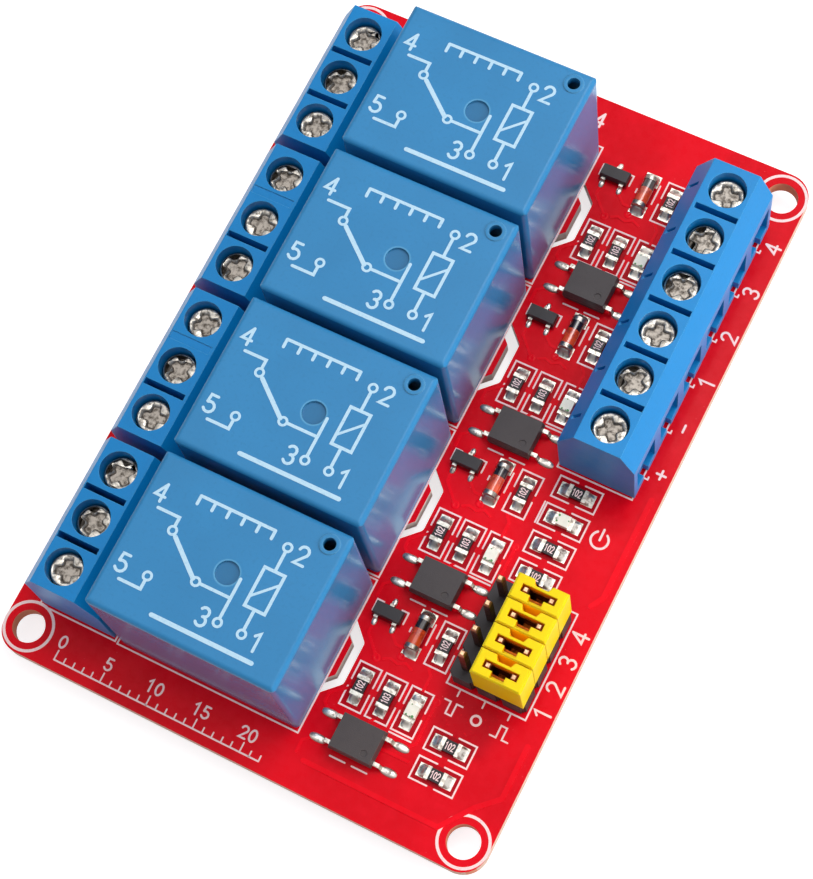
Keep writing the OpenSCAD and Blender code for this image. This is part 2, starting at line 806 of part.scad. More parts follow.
// Ceramic of a chip resistor, or the base of a lamp, inside its end caps
module chip_core(h) {
    translate([0, 0, pad_lift + skin]) block(chip_l - 2 * skin, chip_w - 2 * skin, h - 2 * skin);
}
module chip_caps(h) {
    difference() {
        for (s = [-1, 1]) translate([s * (chip_l - cap_end) / 2, 0, pad_lift])
            block(cap_end, chip_w, h);
        chip_core(h);
    }
}
lamp_base_h = 0.35;
lamp_h = 0.8;
module chip_resistors() { color("black") each_resistor() chip_core(chip_h); }
module led_chips() {
    color("lightyellow") each_lamp() {
        chip_core(lamp_base_h);
        translate([0, 0, pad_lift + lamp_base_h - skin - eps])
            block(chip_l - 2 * cap_end - 0.02, chip_w - 0.1, lamp_h - lamp_base_h);
    }
}
module chip_end_caps() {
    color("gainsboro") {
        each_resistor() chip_caps(chip_h);
        each_lamp() chip_caps(lamp_base_h);
    }
}

// Solder wedge from a pad up against an end face
module wedge(w, l, h) {
    rotate([90, 0, 0]) linear_extrude(w, center = true) polygon([[0, 0], [l, 0], [0, h]]);
}
module end_wedges(half, w, l, h) {
    for (a = [0, 180]) rotate([0, 0, a]) translate([half, 0, 0]) wedge(w, l, h);
}
module smd_solder() {
    color("silver") {
        each_resistor() end_wedges(chip_l / 2, chip_w, 0.6, chip_h);
        each_lamp() end_wedges(chip_l / 2, chip_w, 0.6, lamp_base_h);
        each_diode() rotate([90, 0, 0]) translate([0, 0, -diode_d / 2]) rotate([0, 0, 90])
            end_wedges(diode_l / 2, diode_d, 0.6, diode_d / 2);
        each_opto() for (a = [0, 180], s = [-1, 1]) rotate([0, 0, a])
            translate([opto_span / 2 - opto_pad, s * opto_pitch / 2, 0]) wedge(opto_pad, opto_pad, 0.35);
    }
}

pcb();
solder_joints();
at_relay(0) relay_cover();  // relay_cover_1
at_relay(1) relay_cover();  // relay_cover_2
at_relay(2) relay_cover();  // relay_cover_3
at_relay(3) relay_cover();  // relay_cover_4
relay_bases();
relay_bobbins();
relay_windings();
relay_cores();
relay_yokes();
at_relay(0) relay_armature();  // relay_armature_1
at_relay(1) relay_armature();  // relay_armature_2
at_relay(2) relay_armature();  // relay_armature_3
at_relay(3) relay_armature();  // relay_armature_4
at_relay(0) relay_contact_spring();  // relay_contact_spring_1
at_relay(1) relay_contact_spring();  // relay_contact_spring_2
at_relay(2) relay_contact_spring();  // relay_contact_spring_3
at_relay(3) relay_contact_spring();  // relay_contact_spring_4
relay_nc_contacts();
relay_no_contacts();
relay_coil_pins();
relay_com_pins();
output_terminal(0);  // output_terminal_1
output_terminal(1);  // output_terminal_2
output_terminal(2);  // output_terminal_3
output_terminal(3);  // output_terminal_4
output_clamp_screws();
output_clamp_cages();
output_terminal_pins();
input_terminal();
input_clamp_screws();
input_clamp_cages();
input_terminal_pins();
header_strip();
header_pins();
jumper_cap(0);  // jumper_cap_1
jumper_cap(1);  // jumper_cap_2
jumper_cap(2);  // jumper_cap_3
jumper_cap(3);  // jumper_cap_4
jumper_clip(0);  // jumper_clip_1
jumper_clip(1);  // jumper_clip_2
jumper_clip(2);  // jumper_clip_3
jumper_clip(3);  // jumper_clip_4
optocoupler_bodies();
optocoupler_leads();
transistor_bodies();
transistor_leads();
diode_glasses();
diode_end_caps();
chip_resistors();
led_chips();
chip_end_caps();
smd_solder();
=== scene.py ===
import json
import math

import bpy
import bmesh
from mathutils import Euler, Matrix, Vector
from mathutils.geometry import tessellate_polygon


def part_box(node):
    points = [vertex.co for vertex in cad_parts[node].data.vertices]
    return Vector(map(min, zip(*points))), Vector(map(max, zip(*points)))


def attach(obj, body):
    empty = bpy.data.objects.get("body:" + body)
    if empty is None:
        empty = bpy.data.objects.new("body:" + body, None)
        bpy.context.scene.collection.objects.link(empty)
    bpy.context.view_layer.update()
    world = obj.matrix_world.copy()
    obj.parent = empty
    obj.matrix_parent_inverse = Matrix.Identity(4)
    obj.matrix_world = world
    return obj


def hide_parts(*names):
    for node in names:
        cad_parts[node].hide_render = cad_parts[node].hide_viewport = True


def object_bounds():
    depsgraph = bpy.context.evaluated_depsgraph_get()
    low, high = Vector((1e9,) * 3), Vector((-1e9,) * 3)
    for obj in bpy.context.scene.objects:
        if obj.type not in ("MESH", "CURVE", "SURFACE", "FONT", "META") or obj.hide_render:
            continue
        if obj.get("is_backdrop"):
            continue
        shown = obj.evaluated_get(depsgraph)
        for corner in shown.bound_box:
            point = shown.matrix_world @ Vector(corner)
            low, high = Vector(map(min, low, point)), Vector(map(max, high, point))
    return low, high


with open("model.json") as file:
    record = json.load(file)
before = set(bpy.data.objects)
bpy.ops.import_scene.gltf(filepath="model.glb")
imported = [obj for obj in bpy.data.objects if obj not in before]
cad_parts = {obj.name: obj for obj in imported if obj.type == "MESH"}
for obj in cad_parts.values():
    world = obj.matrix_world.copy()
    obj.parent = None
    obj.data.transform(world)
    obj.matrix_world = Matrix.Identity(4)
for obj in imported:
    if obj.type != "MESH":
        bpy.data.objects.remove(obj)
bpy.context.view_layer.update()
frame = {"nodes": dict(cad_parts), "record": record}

nodes = frame["nodes"]
slotOf = {row["node"]: row["material_slot"] for row in frame["record"]["subparts"]}
mm = 0.001


def boxOf(node):  # lowest and highest corner of a CAD node, in millimetres
    low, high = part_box(node)
    return [v / mm for v in low], [v / mm for v in high]


def middleOf(node):
    low, high = boxOf(node)
    return [(a + b) / 2 for a, b in zip(low, high)]


# places taken from the frame, in millimetres
boardLow, boardHigh = boxOf("pcb")
boardTop = boardHigh[2]
channels = [middleOf(f"relay_cover_{i}")[1] for i in (1, 2, 3, 4)]
pitch = channels[1] - channels[0]
relayX = middleOf("relay_cover_1")[0]
relayEnd, _, caseTop = boxOf("relay_cover_1")[1]
optoX = middleOf("optocoupler_bodies")[0]
outputX = middleOf("output_clamp_screws")[0]
inputX = middleOf("input_clamp_screws")[0]
inputLow, inputHigh = boxOf("input_terminal")
chipTop = boxOf("chip_resistors")[1][2]
lampTop = boxOf("led_chips")[1][2]

# rows of like parts: pitches, and places within a channel
pole = 5.08
poles = [-pole, 0, pole]
inputY = [3.53 + k * pole for k in range(6)]
outputPinX, inputPinX = outputX + 2.65, inputX - 2.65
coilX, commonX, contactX = relayX + 5.1, relayX + 7.1, relayX - 7.1  # soldered pins of a relay
pinSide = 6  # from a relay's middle line to its coil and contact pins
headerPitch = 2.54
headerX, headerY, _ = middleOf("header_pins")
headerSpots = [(headerX + column * headerPitch, headerY + (row - 1.5) * headerPitch)
               for column in (-1, 0, 1) for row in range(4)]
chipPitch = 2.7
chipX = [optoX + 0.4 + k * chipPitch for k in (-1, 0, 1)]
chipRow = {"lower": -1.7, "upper": 5.05, "opto": -6.35, "transistor": 5.6}
transistorX = chipX[0] - 0.75
extraX = boxOf("led_chips")[1][0] - 1  # middle of the small parts that belong to no channel
extraY = [-30.6, -27.65, -9.95, -6.95, -1.0]
powerY = -3.97
looseY = extraY + [powerY]


# shader maths

class Wire:  # one socket, with arithmetic
    def __init__(self, graph, socket):
        self.graph, self.socket = graph, socket

    def out(self, name):
        return Wire(self.graph, self.socket.node.outputs[name])

    def maths(self, operation, *values):
        return self.graph.add("ShaderNodeMath", {"operation": operation}, dict(enumerate(values)))

    def __add__(self, other):
        return self.maths("ADD", self, other)

    def __radd__(self, other):
        return self.maths("ADD", other, self)

    def __sub__(self, other):
        return self.maths("SUBTRACT", self, other)

    def __rsub__(self, other):
        return self.maths("SUBTRACT", other, self)

    def __mul__(self, other):
        return self.maths("MULTIPLY", self, other)

    def __rmul__(self, other):
        return self.maths("MULTIPLY", other, self)

    def __pow__(self, other):
        return self.maths("POWER", self, other)

    def __abs__(self):
        return self.maths("ABSOLUTE", self)

    def __gt__(self, other):
        return self.maths("GREATER_THAN", self, other)

    def __lt__(self, other):
        return self.maths("LESS_THAN", self, other)

    def __mod__(self, other):
        return self.maths("FLOORED_MODULO", self, other)

    def ramp(self, low, high):  # 0 at low, 1 at high, smooth between
        return self.graph.add("ShaderNodeMapRange", {"interpolation_type": "SMOOTHSTEP"},
                              {"Value": self, "From Min": low, "From Max": high})


class Graph:  # a node tree, of a material or of the world
    def __init__(self, tree):
        self.tree = tree
        tree.nodes.clear()

    def add(self, kind, settings=None, sockets=None, output=0):
        made = self.tree.nodes.new(kind)
        for name, value in (settings or {}).items():
            setattr(made, name, value)
        for name, value in (sockets or {}).items():
            self.join(made.inputs[name], value)
        return Wire(self, made.outputs[output])

    def join(self, socket, value):
        if isinstance(value, Wire):
            self.tree.links.new(value.socket, socket)
        elif isinstance(value, (tuple, list)) and len(value) == 3 and socket.type == "RGBA":
            socket.default_value = (*value, 1)
        else:
            socket.default_value = value

    def mix(self, first, second, share):
        return self.add("ShaderNodeMix", {"data_type": "RGBA"},
                        {0: share, 6: first, 7: second}, output=2)

    def seenRays(self):  # 1 where the camera looks, also by way of gloss or glass
        rays = self.add("ShaderNodeLightPath")
        seen = rays.maths("MAXIMUM", rays.out("Is Camera Ray"), rays.out("Is Glossy Ray"))
        return seen.maths("MAXIMUM", seen, rays.out("Is Transmission Ray"))


class Finish(Graph):  # a material, its shader and the place on the piece in millimetres
    bevelSamples = 4

    def __init__(self, name):
        self.material = bpy.data.materials.new(name)
        self.material.use_nodes = True
        super().__init__(self.material.node_tree)
        self.shader = self.tree.nodes.new("ShaderNodeBsdfPrincipled")
        self.output = self.tree.nodes.new("ShaderNodeOutputMaterial")
        self.tree.links.new(self.shader.outputs[0], self.output.inputs["Surface"])
        here = self.add("ShaderNodeTexCoord").out("Object")
        self.place = self.add("ShaderNodeVectorMath", {"operation": "SCALE"},
                              {0: here, "Scale": 1 / mm})
        self.x = self.add("ShaderNodeSeparateXYZ", {}, {0: self.place})
        self.y, self.z = self.x.out("Y"), self.x.out("Z")
        finishes[name] = self.material

    def set(self, **sockets):
        for name, value in sockets.items():
            self.join(self.shader.inputs[name.replace("_", " ")], value)

    def repeated(self, start, step):  # y from the nearest of a row of equal places
        return (self.y - (start - step / 2)) % step - step / 2

    def inBox(self, x, y, halfX, halfY):  # 1 inside a box round x, y
        return (abs(x) < halfX) * (abs(y) < halfY)

    def stretched(self, x, y, z):  # the place, drawn out along an axis
        return self.add("ShaderNodeVectorMath", {"operation": "MULTIPLY"},
                        {0: self.place, 1: (x, y, z)})

    def cloud(self, size, detail, rough=0.5, place=None):  # size of a patch in millimetres
        return self.add("ShaderNodeTexNoise", {},
                        {"Vector": place or self.place, "Scale": 1 / size, "Detail": detail,
                         "Roughness": rough})

    def cells(self, size):  # distance to the nearest of a scatter of dots
        return self.add("ShaderNodeTexVoronoi", {},
                        {"Vector": self.place, "Scale": 1 / size}).out("Distance")

    def soft(self, edge):  # the normal, rounded over the edges
        return self.add("ShaderNodeBevel", {"samples": self.bevelSamples}, {"Radius": edge * mm})

    def relief(self, height, depth, edge=0.0):  # depth and edge radius in millimetres
        sockets = {"Height": height, "Distance": depth * mm, "Strength": 1.0}
        if edge:
            sockets["Normal"] = self.soft(edge)
        self.set(Normal=self.add("ShaderNodeBump", {}, sockets))

    def edgeMask(self, edge):  # 1 along the edges of the solid
        true = self.add("ShaderNodeNewGeometry").out("True Normal")
        turned = self.add("ShaderNodeVectorMath", {"operation": "DOT_PRODUCT"},
                          {0: self.soft(edge), 1: true}).out("Value")
        return (1 - turned).ramp(0.04, 0.3)


def tint(red, green, blue):  # a colour as seen, 0 to 255, made linear
    def linear(v):
        v /= 255
        return v / 12.92 if v <= 0.04045 else ((v + 0.055) / 1.055) ** 2.4
    return (linear(red), linear(green), linear(blue))


def shade(colour, factor):
    return tuple(min(v * factor, 1) for v in colour)


black, white = (0, 0, 0), (1, 1, 1)
finishes = {}  # materials by name


def dimpleMark(f, base, look):
    # the round mark on a case's top: painted shade in its well, with a painted highlight on its
    # rim
    across, radius = look["dimple"]
    dx, dy = f.x - relayX - across, f.repeated(channels[0], pitch)
    away = (dx * dx + dy * dy) ** 0.5
    onTop = f.z > caseTop - 1
    # painted shade in the well
    wellShade = (1 - away.ramp(radius - 0.05, radius + 0.08)) * onTop
    base = f.mix(base, shade(look["colour"], 0.62), wellShade * 0.75)
    # painted highlight round the rim
    rim = away.ramp(radius, radius + 0.06) * (1 - away.ramp(radius + 0.06, radius + 0.22))
    return f.mix(base, look["paintedEdgeLight"], rim * onTop * 0.35)


def capRecess(f, base, look):
    # painted light and shade in a jumper cap's window and grooves: brighter orange walls and an
    # orange emission glow stand for light through the thin walls, and painted shade darkens the
    # deep pocket
    low, high = boxOf("jumper_cap_1")
    across = f.repeated((low[1] + high[1]) / 2, headerPitch)
    off = f.x - (low[0] + high[0]) / 2
    depth = high[2] - f.z
    groove = f.inBox(off, across - 0.82, 1.0, 0.375) * depth.ramp(0.02, 0.25)
    window = f.inBox(off, across, 1.98, 0.6)
    # painted light: brighter orange walls in the grooves and the upper window
    base = f.mix(base, look["groove"], groove)
    base = f.mix(base, look["window"], window * depth.ramp(0.08, 0.4))
    # painted shade deep in the window
    base = f.mix(base, look["deep"], window * depth.ramp(0.7, 1.5))
    # painted glow: emission standing for light through the thin walls
    lit = f.mix(black, look["grooveLit"], groove * depth.ramp(0.2, 0.6))
    lit = f.mix(lit, look["windowLit"], window * depth.ramp(0.1, 0.5))
    f.set(Emission_Color=lit, Emission_Strength=look["lit"])
    return base


def moulding(name, look):
    # moulded plastic: drifting colour, fine grain, painted highlights along the edges and uneven
    # shine
    f = Finish(name)
    colour, edge = look["colour"], look.get("edge", 0.12)
    drift = look.get("drift", 0.08)
    base = f.mix(shade(colour, 1 - drift), shade(colour, 1 + drift),
                 f.cloud(look.get("patch", 6), 3))
    speck = f.cloud(0.35, 2).ramp(0.52, 0.7)
    base = f.mix(base, shade(colour, 0.86), speck * look.get("speck", 0.25))
    # painted highlight along the edges
    if look.get("paintedEdgeLight"):
        base = f.mix(base, look["paintedEdgeLight"], f.edgeMask(edge) * look["paintedEdgeShare"])
    if look.get("dimple"):
        base = dimpleMark(f, base, look)
    # painted light and shade in a jumper cap's grooves and window
    if look.get("groove"):
        base = capRecess(f, base, look)
    grain = f.cloud(look.get("grain", 0.12), 2)
    smear = f.cloud(look.get("smear", 2.5), 4, 0.6)
    rough = look["rough"] + (smear - 0.5) * look.get("sheen", 0.2)
    if look.get("sides"):  # polished mould walls below a spark-eroded top
        rough = (f.z > caseTop - 0.5) * (rough - look["sides"]) + look["sides"]
    f.set(Base_Color=base, Roughness=rough, IOR=1.5, Specular_IOR_Level=look.get("gloss", 0.5))
    f.relief(grain, look.get("depth", 0.006), edge)
    if look.get("glow"):  # thin walls let some light through
        f.set(Subsurface_Weight=look["glow"], Subsurface_Radius=(1.0, 0.55, 0.04),
              Subsurface_Scale=1.2 * mm)


def plated(name, look):
    # metal: bright, with drawn or turned scratches, dull patches and darker corners
    f = Finish(name)
    colour = look["colour"]
    dull = f.cloud(look["patch"], 4, 0.65).ramp(0.42, 0.68)
    if look.get("nearSideShade"):  # painted shade: duller and darker where the surface faces the near side (-Y)
        normal = f.add("ShaderNodeNewGeometry").out("Normal")
        away = 0 - f.add("ShaderNodeSeparateXYZ", {}, {0: normal}).out("Y")
        dull = dull.maths("MAXIMUM", dull, away.ramp(0.1, 0.6) * look["nearSideShade"])
    base = f.mix(colour, look["dull"], dull * look.get("stain", 0.6))
    lines = f.cloud(0.2, 3, 0.6, f.stretched(*look.get("drawn", (1, 1, 1))))
    rough = look["rough"] + dull * 0.2 + (lines - 0.5) * 0.15
    if look.get("recess"):  # dirt and shade in the crossed recess of a screw
        deep = (boxOf("output_clamp_screws")[1][2] - f.z).ramp(0.04, 0.3)
        base = f.mix(base, f.mix(*look["recess"], dull), deep * 0.85)
        rough = rough + deep * 0.12
    if look.get("shaftReflection"):  # painted reflection of the dark header and red board, darker below the tip
        base = f.mix(base, look["shaftReflection"], (boxOf("header_pins")[1][2] - f.z).ramp(0.2, 0.6))
    f.set(Base_Color=base, Metallic=1.0, Roughness=rough)
    f.relief(lines + f.cloud(0.5, 2) * 0.6, look.get("depth", 0.01), look.get("edge", 0.05))


# geometry

class Stock:  # corners and faces of one piece, in millimetres
    def __init__(self):
        self.corners, self.faces, self.layer = [], [], 0

    def add(self, corners, faces):
        start = len(self.corners)
        self.corners += corners
        self.faces += [[start + i for i in face] for face in faces]

    def skin(self, rows, endless=False, capped=True):  # rings of points joined up
        wide, long = len(rows[0]), len(rows)
        faces = []
        for r in range(long if endless else long - 1):
            for c in range(wide):
                after, below = (c + 1) % wide, (r + 1) % long
                faces.append([r * wide + c, r * wide + after,
                              below * wide + after, below * wide + c])
        if capped and not endless:
            faces.append(list(range(wide))[::-1])
            faces.append([(long - 1) * wide + c for c in range(wide)])
        self.add([p for row in rows for p in row], faces)

    def block(self, low, high):
        (a, b, c), (d, e, g) = low, high
        self.skin([[(a, b, z), (d, b, z), (d, e, z), (a, e, z)] for z in (c, g)])

    def flat(self, *rings):  # a face inside the first ring, with the others as holes
        triangles = tessellate_polygon([[Vector(p) for p in ring] for ring in rings])
        self.add(sum(rings, []), [list(t) for t in triangles])

    def piece(self, name, finish, body="module", stands=(), smooth=None):
        mesh = bpy.data.meshes.new(name)
        mesh.from_pydata([(x * mm, y * mm, z * mm) for x, y, z in self.corners], [], self.faces)
        work = bmesh.new()
        work.from_mesh(mesh)
        bmesh.ops.remove_doubles(work, verts=work.verts, dist=1e-8)
        bmesh.ops.recalc_face_normals(work, faces=work.faces)
        work.to_mesh(mesh)
        work.free()
        thing = bpy.data.objects.new(name, mesh)
        bpy.context.collection.objects.link(thing)
        mesh.materials.append(finishes[finish])
        if smooth:
            mesh.shade_smooth()
            mesh.set_sharp_from_angle(angle=math.radians(smooth))
        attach(thing, body)
        if stands:
            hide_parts(*stands)
        print(name, "faces:", len(self.faces))


def placed(x, y, z, turn=0):  # local millimetres to the board's
    c, s = math.cos(math.radians(turn)), math.sin(math.radians(turn))
    return lambda u, v, w=0: (x + u * c - v * s, y + u * s + v * c, z + w)


def square(x, y, half, z):
    return [(x + u * half, y + v * half, z) for u, v in ((-1, -1), (1, -1), (1, 1), (-1, 1))]


def arc(x, y, radius, start=0, end=360, *, steps, squash=1):
    turns = [math.radians(start + (end - start) * k / steps) for k in range(steps + 1)]
    return [(x + radius * math.cos(a), y + radius * squash * math.sin(a)) for a in turns]


strokeLook = {"step": 0.002, "levels": 11, "endAngles": (0.5, 1.0, 1.45), "sharpest": 0.5}


def stroke(stock, path, wide, put, thick, closed=False, blunt=False):
    # a raised line of even width, with round ends unless blunt
    path = [tuple(p) for p in path]
    stock.layer += 1  # crossing lines never lie in one plane
    thick += strokeLook["step"] * (stock.layer % strokeLook["levels"])
    if closed and math.dist(path[0], path[-1]) < 1e-6:
        path = path[:-1]
    half = wide / 2
    widths = [half] * len(path)
    if not closed and not blunt:
        def end(tip, inner):
            run = math.dist(tip, inner) or 1
            ux, uy = (tip[0] - inner[0]) / run, (tip[1] - inner[1]) / run
            return [((tip[0] + ux * half * math.sin(a), tip[1] + uy * half * math.sin(a)),
                     half * math.cos(a)) for a in strokeLook["endAngles"]]
        head, tail = end(path[0], path[1]), end(path[-1], path[-2])
        path = [p for p, w in reversed(head)] + path + [p for p, w in tail]
        widths = [w for p, w in reversed(head)] + widths + [w for p, w in tail]
    count = len(path)
    rows = []
    for k, (x, y) in enumerate(path):
        before = path[k - 1] if k or closed else path[k]
        after = path[(k + 1) % count] if k < count - 1 or closed else path[k]
        into = (x - before[0], y - before[1])
        away = (after[0] - x, after[1] - y)
        a = math.hypot(*into) or 1
        b = math.hypot(*away) or 1
        dx, dy = into[0] / a + away[0] / b, into[1] / a + away[1] / b
        run = math.hypot(dx, dy) or 1
        dx, dy = dx / run, dy / run
        bend = abs(dx * into[0] + dy * into[1]) / a if math.hypot(*into) else 1
        w = widths[k] / max(strokeLook["sharpest"], bend)
        rows.append([put(x - dy * w, y + dx * w, thick), put(x + dy * w, y - dx * w, thick),
                     put(x + dy * w, y - dx * w), put(x - dy * w, y + dx * w)])
    stock.skin(rows, endless=closed)


glyphWide, glyphStep = 0.6, 0.82
glyphs = {  # pen paths of the figures and signs in a box 0.6 wide and 1 high
    "0": [arc(0.3, 0.5, 0.28, steps=16, squash=1.75)],
    "1": [[(0.1, 0.78), (0.34, 1), (0.34, 0)]],
    "2": [arc(0.3, 0.72, 0.27, 170, -30, steps=8) + [(0.03, 0), (0.58, 0)]],
    "3": [arc(0.28, 0.75, 0.25, 150, -90, steps=9), arc(0.28, 0.26, 0.27, 80, -150, steps=9)],
    "4": [[(0.44, 0), (0.44, 1)], [(0.44, 1), (0.02, 0.3), (0.6, 0.3)]],
    "5": [[(0.52, 1), (0.12, 1), (0.08, 0.58)], arc(0.28, 0.32, 0.3, 125, -150, steps=10)],
    "+": [[(0.3, 0.2), (0.3, 0.8)], [(0.0, 0.5), (0.6, 0.5)]],
    "-": [[(0.05, 0.5), (0.55, 0.5)]],
}


def write(stock, text, x, y, z, high, pen, turn=0, thick=0.02, wide=1.0):
    # figures centred on a point, the baseline turned by an angle
    step = glyphStep * wide
    start = -(len(text) - 1) * step / 2 - glyphWide / 2 * wide
    for k, sign in enumerate(text):
        for path in glyphs[sign]:
            line = [((start + k * step + u * wide) * high, (v - 0.5) * high) for u, v in path]
            ring = math.dist(line[0], line[-1]) < 1e-6
            stroke(stock, line, pen, placed(x, y, z, turn), thick, closed=ring, blunt=ring)


def turned(stock, profile, x, y, z, steps):  # radius, height pairs revolved
    circle = arc(0, 0, 1, steps=steps)[:-1]
    stock.skin([[(x + radius * u, y + radius * v, z + height) for u, v in circle]
                for radius, height in profile])


# finishes

boardLook = {"mask": tint(228, 6, 28), "deep": tint(206, 3, 22), "bright": tint(238, 24, 44),
             "darkPatchAndShadow": tint(164, 4, 22), "dust": tint(250, 130, 130),
             "laminate": tint(236, 204, 186), "fibre": tint(206, 164, 138),
             "wall": tint(222, 130, 92), "slot": tint(246, 226, 216), "skin": 0.03}


def maskFinish(name, lift=1.0):
    # glossy solder mask over copper, bare laminate on the sawn edges
    f = Finish(name)
    look = boardLook
    pour = f.cloud(9, 2).ramp(0.4, 0.62)
    mottled = f.cloud(0.9, 4, 0.6)
    red = f.mix(shade(look["deep"], lift), shade(look["mask"], lift), 0.35 + pour * 0.65)
    red = f.mix(red, look["bright"], mottled.ramp(0.45, 0.8) * 0.35)

    # darker mask in boxes round the small parts, and a painted shadow of the header on the board
    # in front of it
    row = f.repeated(channels[0], pitch)
    column = (f.x - chipX[0] + chipPitch / 2) % chipPitch - chipPitch / 2
    darkPatchAndShadow = f.inBox(column, row - chipRow["lower"], 1.0, 2.1) * (abs(f.x - chipX[1]) < 4)
    for x, place, halfX, halfY in ((chipX[2], "upper", 1.0, 2.1), (chipX[1], "upper", 0.8, 2.3),
                                   (transistorX, "transistor", 1.5, 0.8)):
        darkPatchAndShadow = darkPatchAndShadow + f.inBox(f.x - x, row - chipRow[place], halfX, halfY)
    darkPatchAndShadow = darkPatchAndShadow * (abs(f.y) < 2 * pitch)
    for y in looseY:
        darkPatchAndShadow = darkPatchAndShadow + f.inBox(f.x - extraX, f.y - y, 2.1, 1.0)
    # painted shadow cast by the header and its caps towards the near edge
    headerShadow = 1 - abs(f.x - headerX + 0.8).ramp(2.0, 3.8)
    darkPatchAndShadow = darkPatchAndShadow + headerShadow * (1 - abs(f.y - headerY + 8.2).ramp(1.6, 3.2)) * 0.6
    onTop = f.z > boardTop - look["skin"]
    red = f.mix(red, look["darkPatchAndShadow"], darkPatchAndShadow * f.cloud(0.25, 2).ramp(0.2, 0.4) * onTop * 0.85)
    dust = f.cells(0.7).ramp(0.09, 0.04) * f.cloud(3, 2).ramp(0.5, 0.65)
    red = f.mix(red, look["dust"], dust * 0.3)

    # edges: laminate outside, darker walls in the holes, pale ones in the slots
    layers = f.cloud(0.35, 3, 0.6, f.stretched(0.5, 0.5, 5))
    edge = f.mix(look["laminate"], look["fibre"], layers.ramp(0.4, 0.65))
    inner = f.inBox(f.x, f.y, boardHigh[0] - 0.4, boardHigh[1] - 0.4)
    edge = f.mix(edge, look["wall"], inner * 0.8)
    edge = f.mix(edge, look["slot"], (abs(f.x - 5) < 3.2) * inner)
    face = onTop + (f.z < boardLow[2] + look["skin"])
    f.set(Base_Color=f.mix(edge, red, face), Roughness=0.62 - face * 0.34 + (mottled - 0.5) * 0.1,
          Coat_Weight=face * 0.03, Coat_Roughness=0.06, Specular_IOR_Level=0.05)
    f.relief(f.cloud(2.2, 2) * 2 + f.cloud(0.25, 2) * 0.25, 0.012)


def inkFinish(name, colour, edge):
    # printed ink: slightly patchy, with pinholes and a dry surface
    f = Finish(name)
    worn = f.cloud(0.22, 3, 0.7).ramp(0.5, 0.78)
    f.set(Base_Color=f.mix(colour, edge, worn * 0.55 + f.cloud(2, 2) * 0.15),
          Roughness=0.5 + f.cloud(0.4, 2) * 0.25)
    f.relief(f.cloud(0.15, 2), 0.004)


def wireFinish(name):
    # enamelled wire wound in close turns
    f = Finish(name)
    turn = abs((f.z * 9 + f.cloud(1.5, 2) * 0.4) % 1.0 - 0.5) * 2
    f.set(Base_Color=f.mix(tint(120, 50, 20), tint(214, 120, 60), turn), Metallic=0.8,
          Roughness=0.3 + f.cloud(0.6, 2) * 0.15)
    f.relief(turn, 0.05)


def glassFinish(name):
    # orange glass bead with its dark cathode band at the far end
    f = Finish(name)
    along = f.repeated(channels[0] + chipRow["upper"], pitch)
    core = (1 - abs(along).ramp(0.2, 0.75)) * f.cloud(0.35, 2).ramp(0.3, 0.6)
    glass = f.mix(tint(226, 78, 34), tint(150, 22, 14), core * 0.6)
    f.set(Base_Color=f.mix(glass, tint(38, 24, 26), along.ramp(0.3, 0.38)),
          Roughness=0.08 + f.cloud(0.5, 2) * 0.06, Coat_Weight=0.8, Coat_Roughness=0.03)
    f.relief(f.cloud(0.8, 2), 0.01)


maskFinish("boardMask")
maskFinish("trackMask", 1.16)
inkFinish("whiteInk", tint(250, 222, 220), tint(240, 150, 154))
inkFinish("paleInk", tint(186, 218, 236), tint(120, 176, 216))
wireFinish("coilWire")
glassFinish("diodeGlass")

# the lighter edge colours below are painted highlights along the edges
moulding("relayCase", {"colour": tint(42, 125, 178), "paintedEdgeLight": tint(124, 194, 228), "paintedEdgeShare": 0.6,
                       "edge": 0.18, "rough": 0.37, "grain": 0.3, "depth": 0.003, "patch": 7,
                       "drift": 0.14, "smear": 6, "sheen": 0.08, "gloss": 0.3, "speck": 0.4,
                       "sides": 0.2, "dimple": (0.85, 1.1)})
moulding("terminalBlue", {"colour": tint(8, 130, 198), "paintedEdgeLight": tint(120, 210, 246), "paintedEdgeShare": 0.6,
                          "rough": 0.36, "grain": 0.14, "depth": 0.008, "gloss": 0.24,
                          "speck": 0.3})
moulding("darkBlue", {"colour": tint(30, 60, 110), "rough": 0.5, "edge": 0.08})
moulding("natural", {"colour": tint(236, 226, 200), "rough": 0.45, "edge": 0.08})
moulding("headerBlack", {"colour": tint(44, 38, 40), "paintedEdgeLight": tint(110, 100, 100), "paintedEdgeShare": 0.4,
                         "edge": 0.08, "rough": 0.5, "grain": 0.1, "depth": 0.008, "gloss": 0.3})
moulding("jumperYellow", {"colour": tint(255, 216, 0), "paintedEdgeLight": tint(255, 238, 80), "paintedEdgeShare": 0.4,
                          "edge": 0.14, "rough": 0.4, "depth": 0.012, "patch": 2, "drift": 0.03,
                          # lit is a painted glow; groove, window and deep are painted light and
                          # shade colours in the cap's recesses
                          "speck": 0.1, "gloss": 0.15, "glow": 0.35, "lit": 0.3,
                          "groove": tint(255, 190, 16), "grooveLit": tint(214, 150, 6),
                          "window": tint(236, 130, 0), "windowLit": tint(110, 44, 4),
                          "deep": tint(104, 30, 2)})
moulding("chipBody", {"colour": tint(62, 54, 54), "paintedEdgeLight": tint(140, 128, 124), "paintedEdgeShare": 0.5,
                      "edge": 0.08, "rough": 0.5, "grain": 0.09, "depth": 0.016, "patch": 1.5,
                      "gloss": 0.35, "speck": 0.5})
moulding("transistorBody", {"colour": tint(44, 39, 41), "paintedEdgeLight": tint(120, 112, 112),
                            "paintedEdgeShare": 0.45, "edge": 0.05, "rough": 0.48, "grain": 0.08,
                            "depth": 0.014, "patch": 1, "gloss": 0.35, "speck": 0.5})
moulding("resistorTop", {"colour": tint(30, 26, 28), "rough": 0.36, "edge": 0.05, "grain": 0.08,
                         "depth": 0.004, "patch": 0.8, "gloss": 0.3})
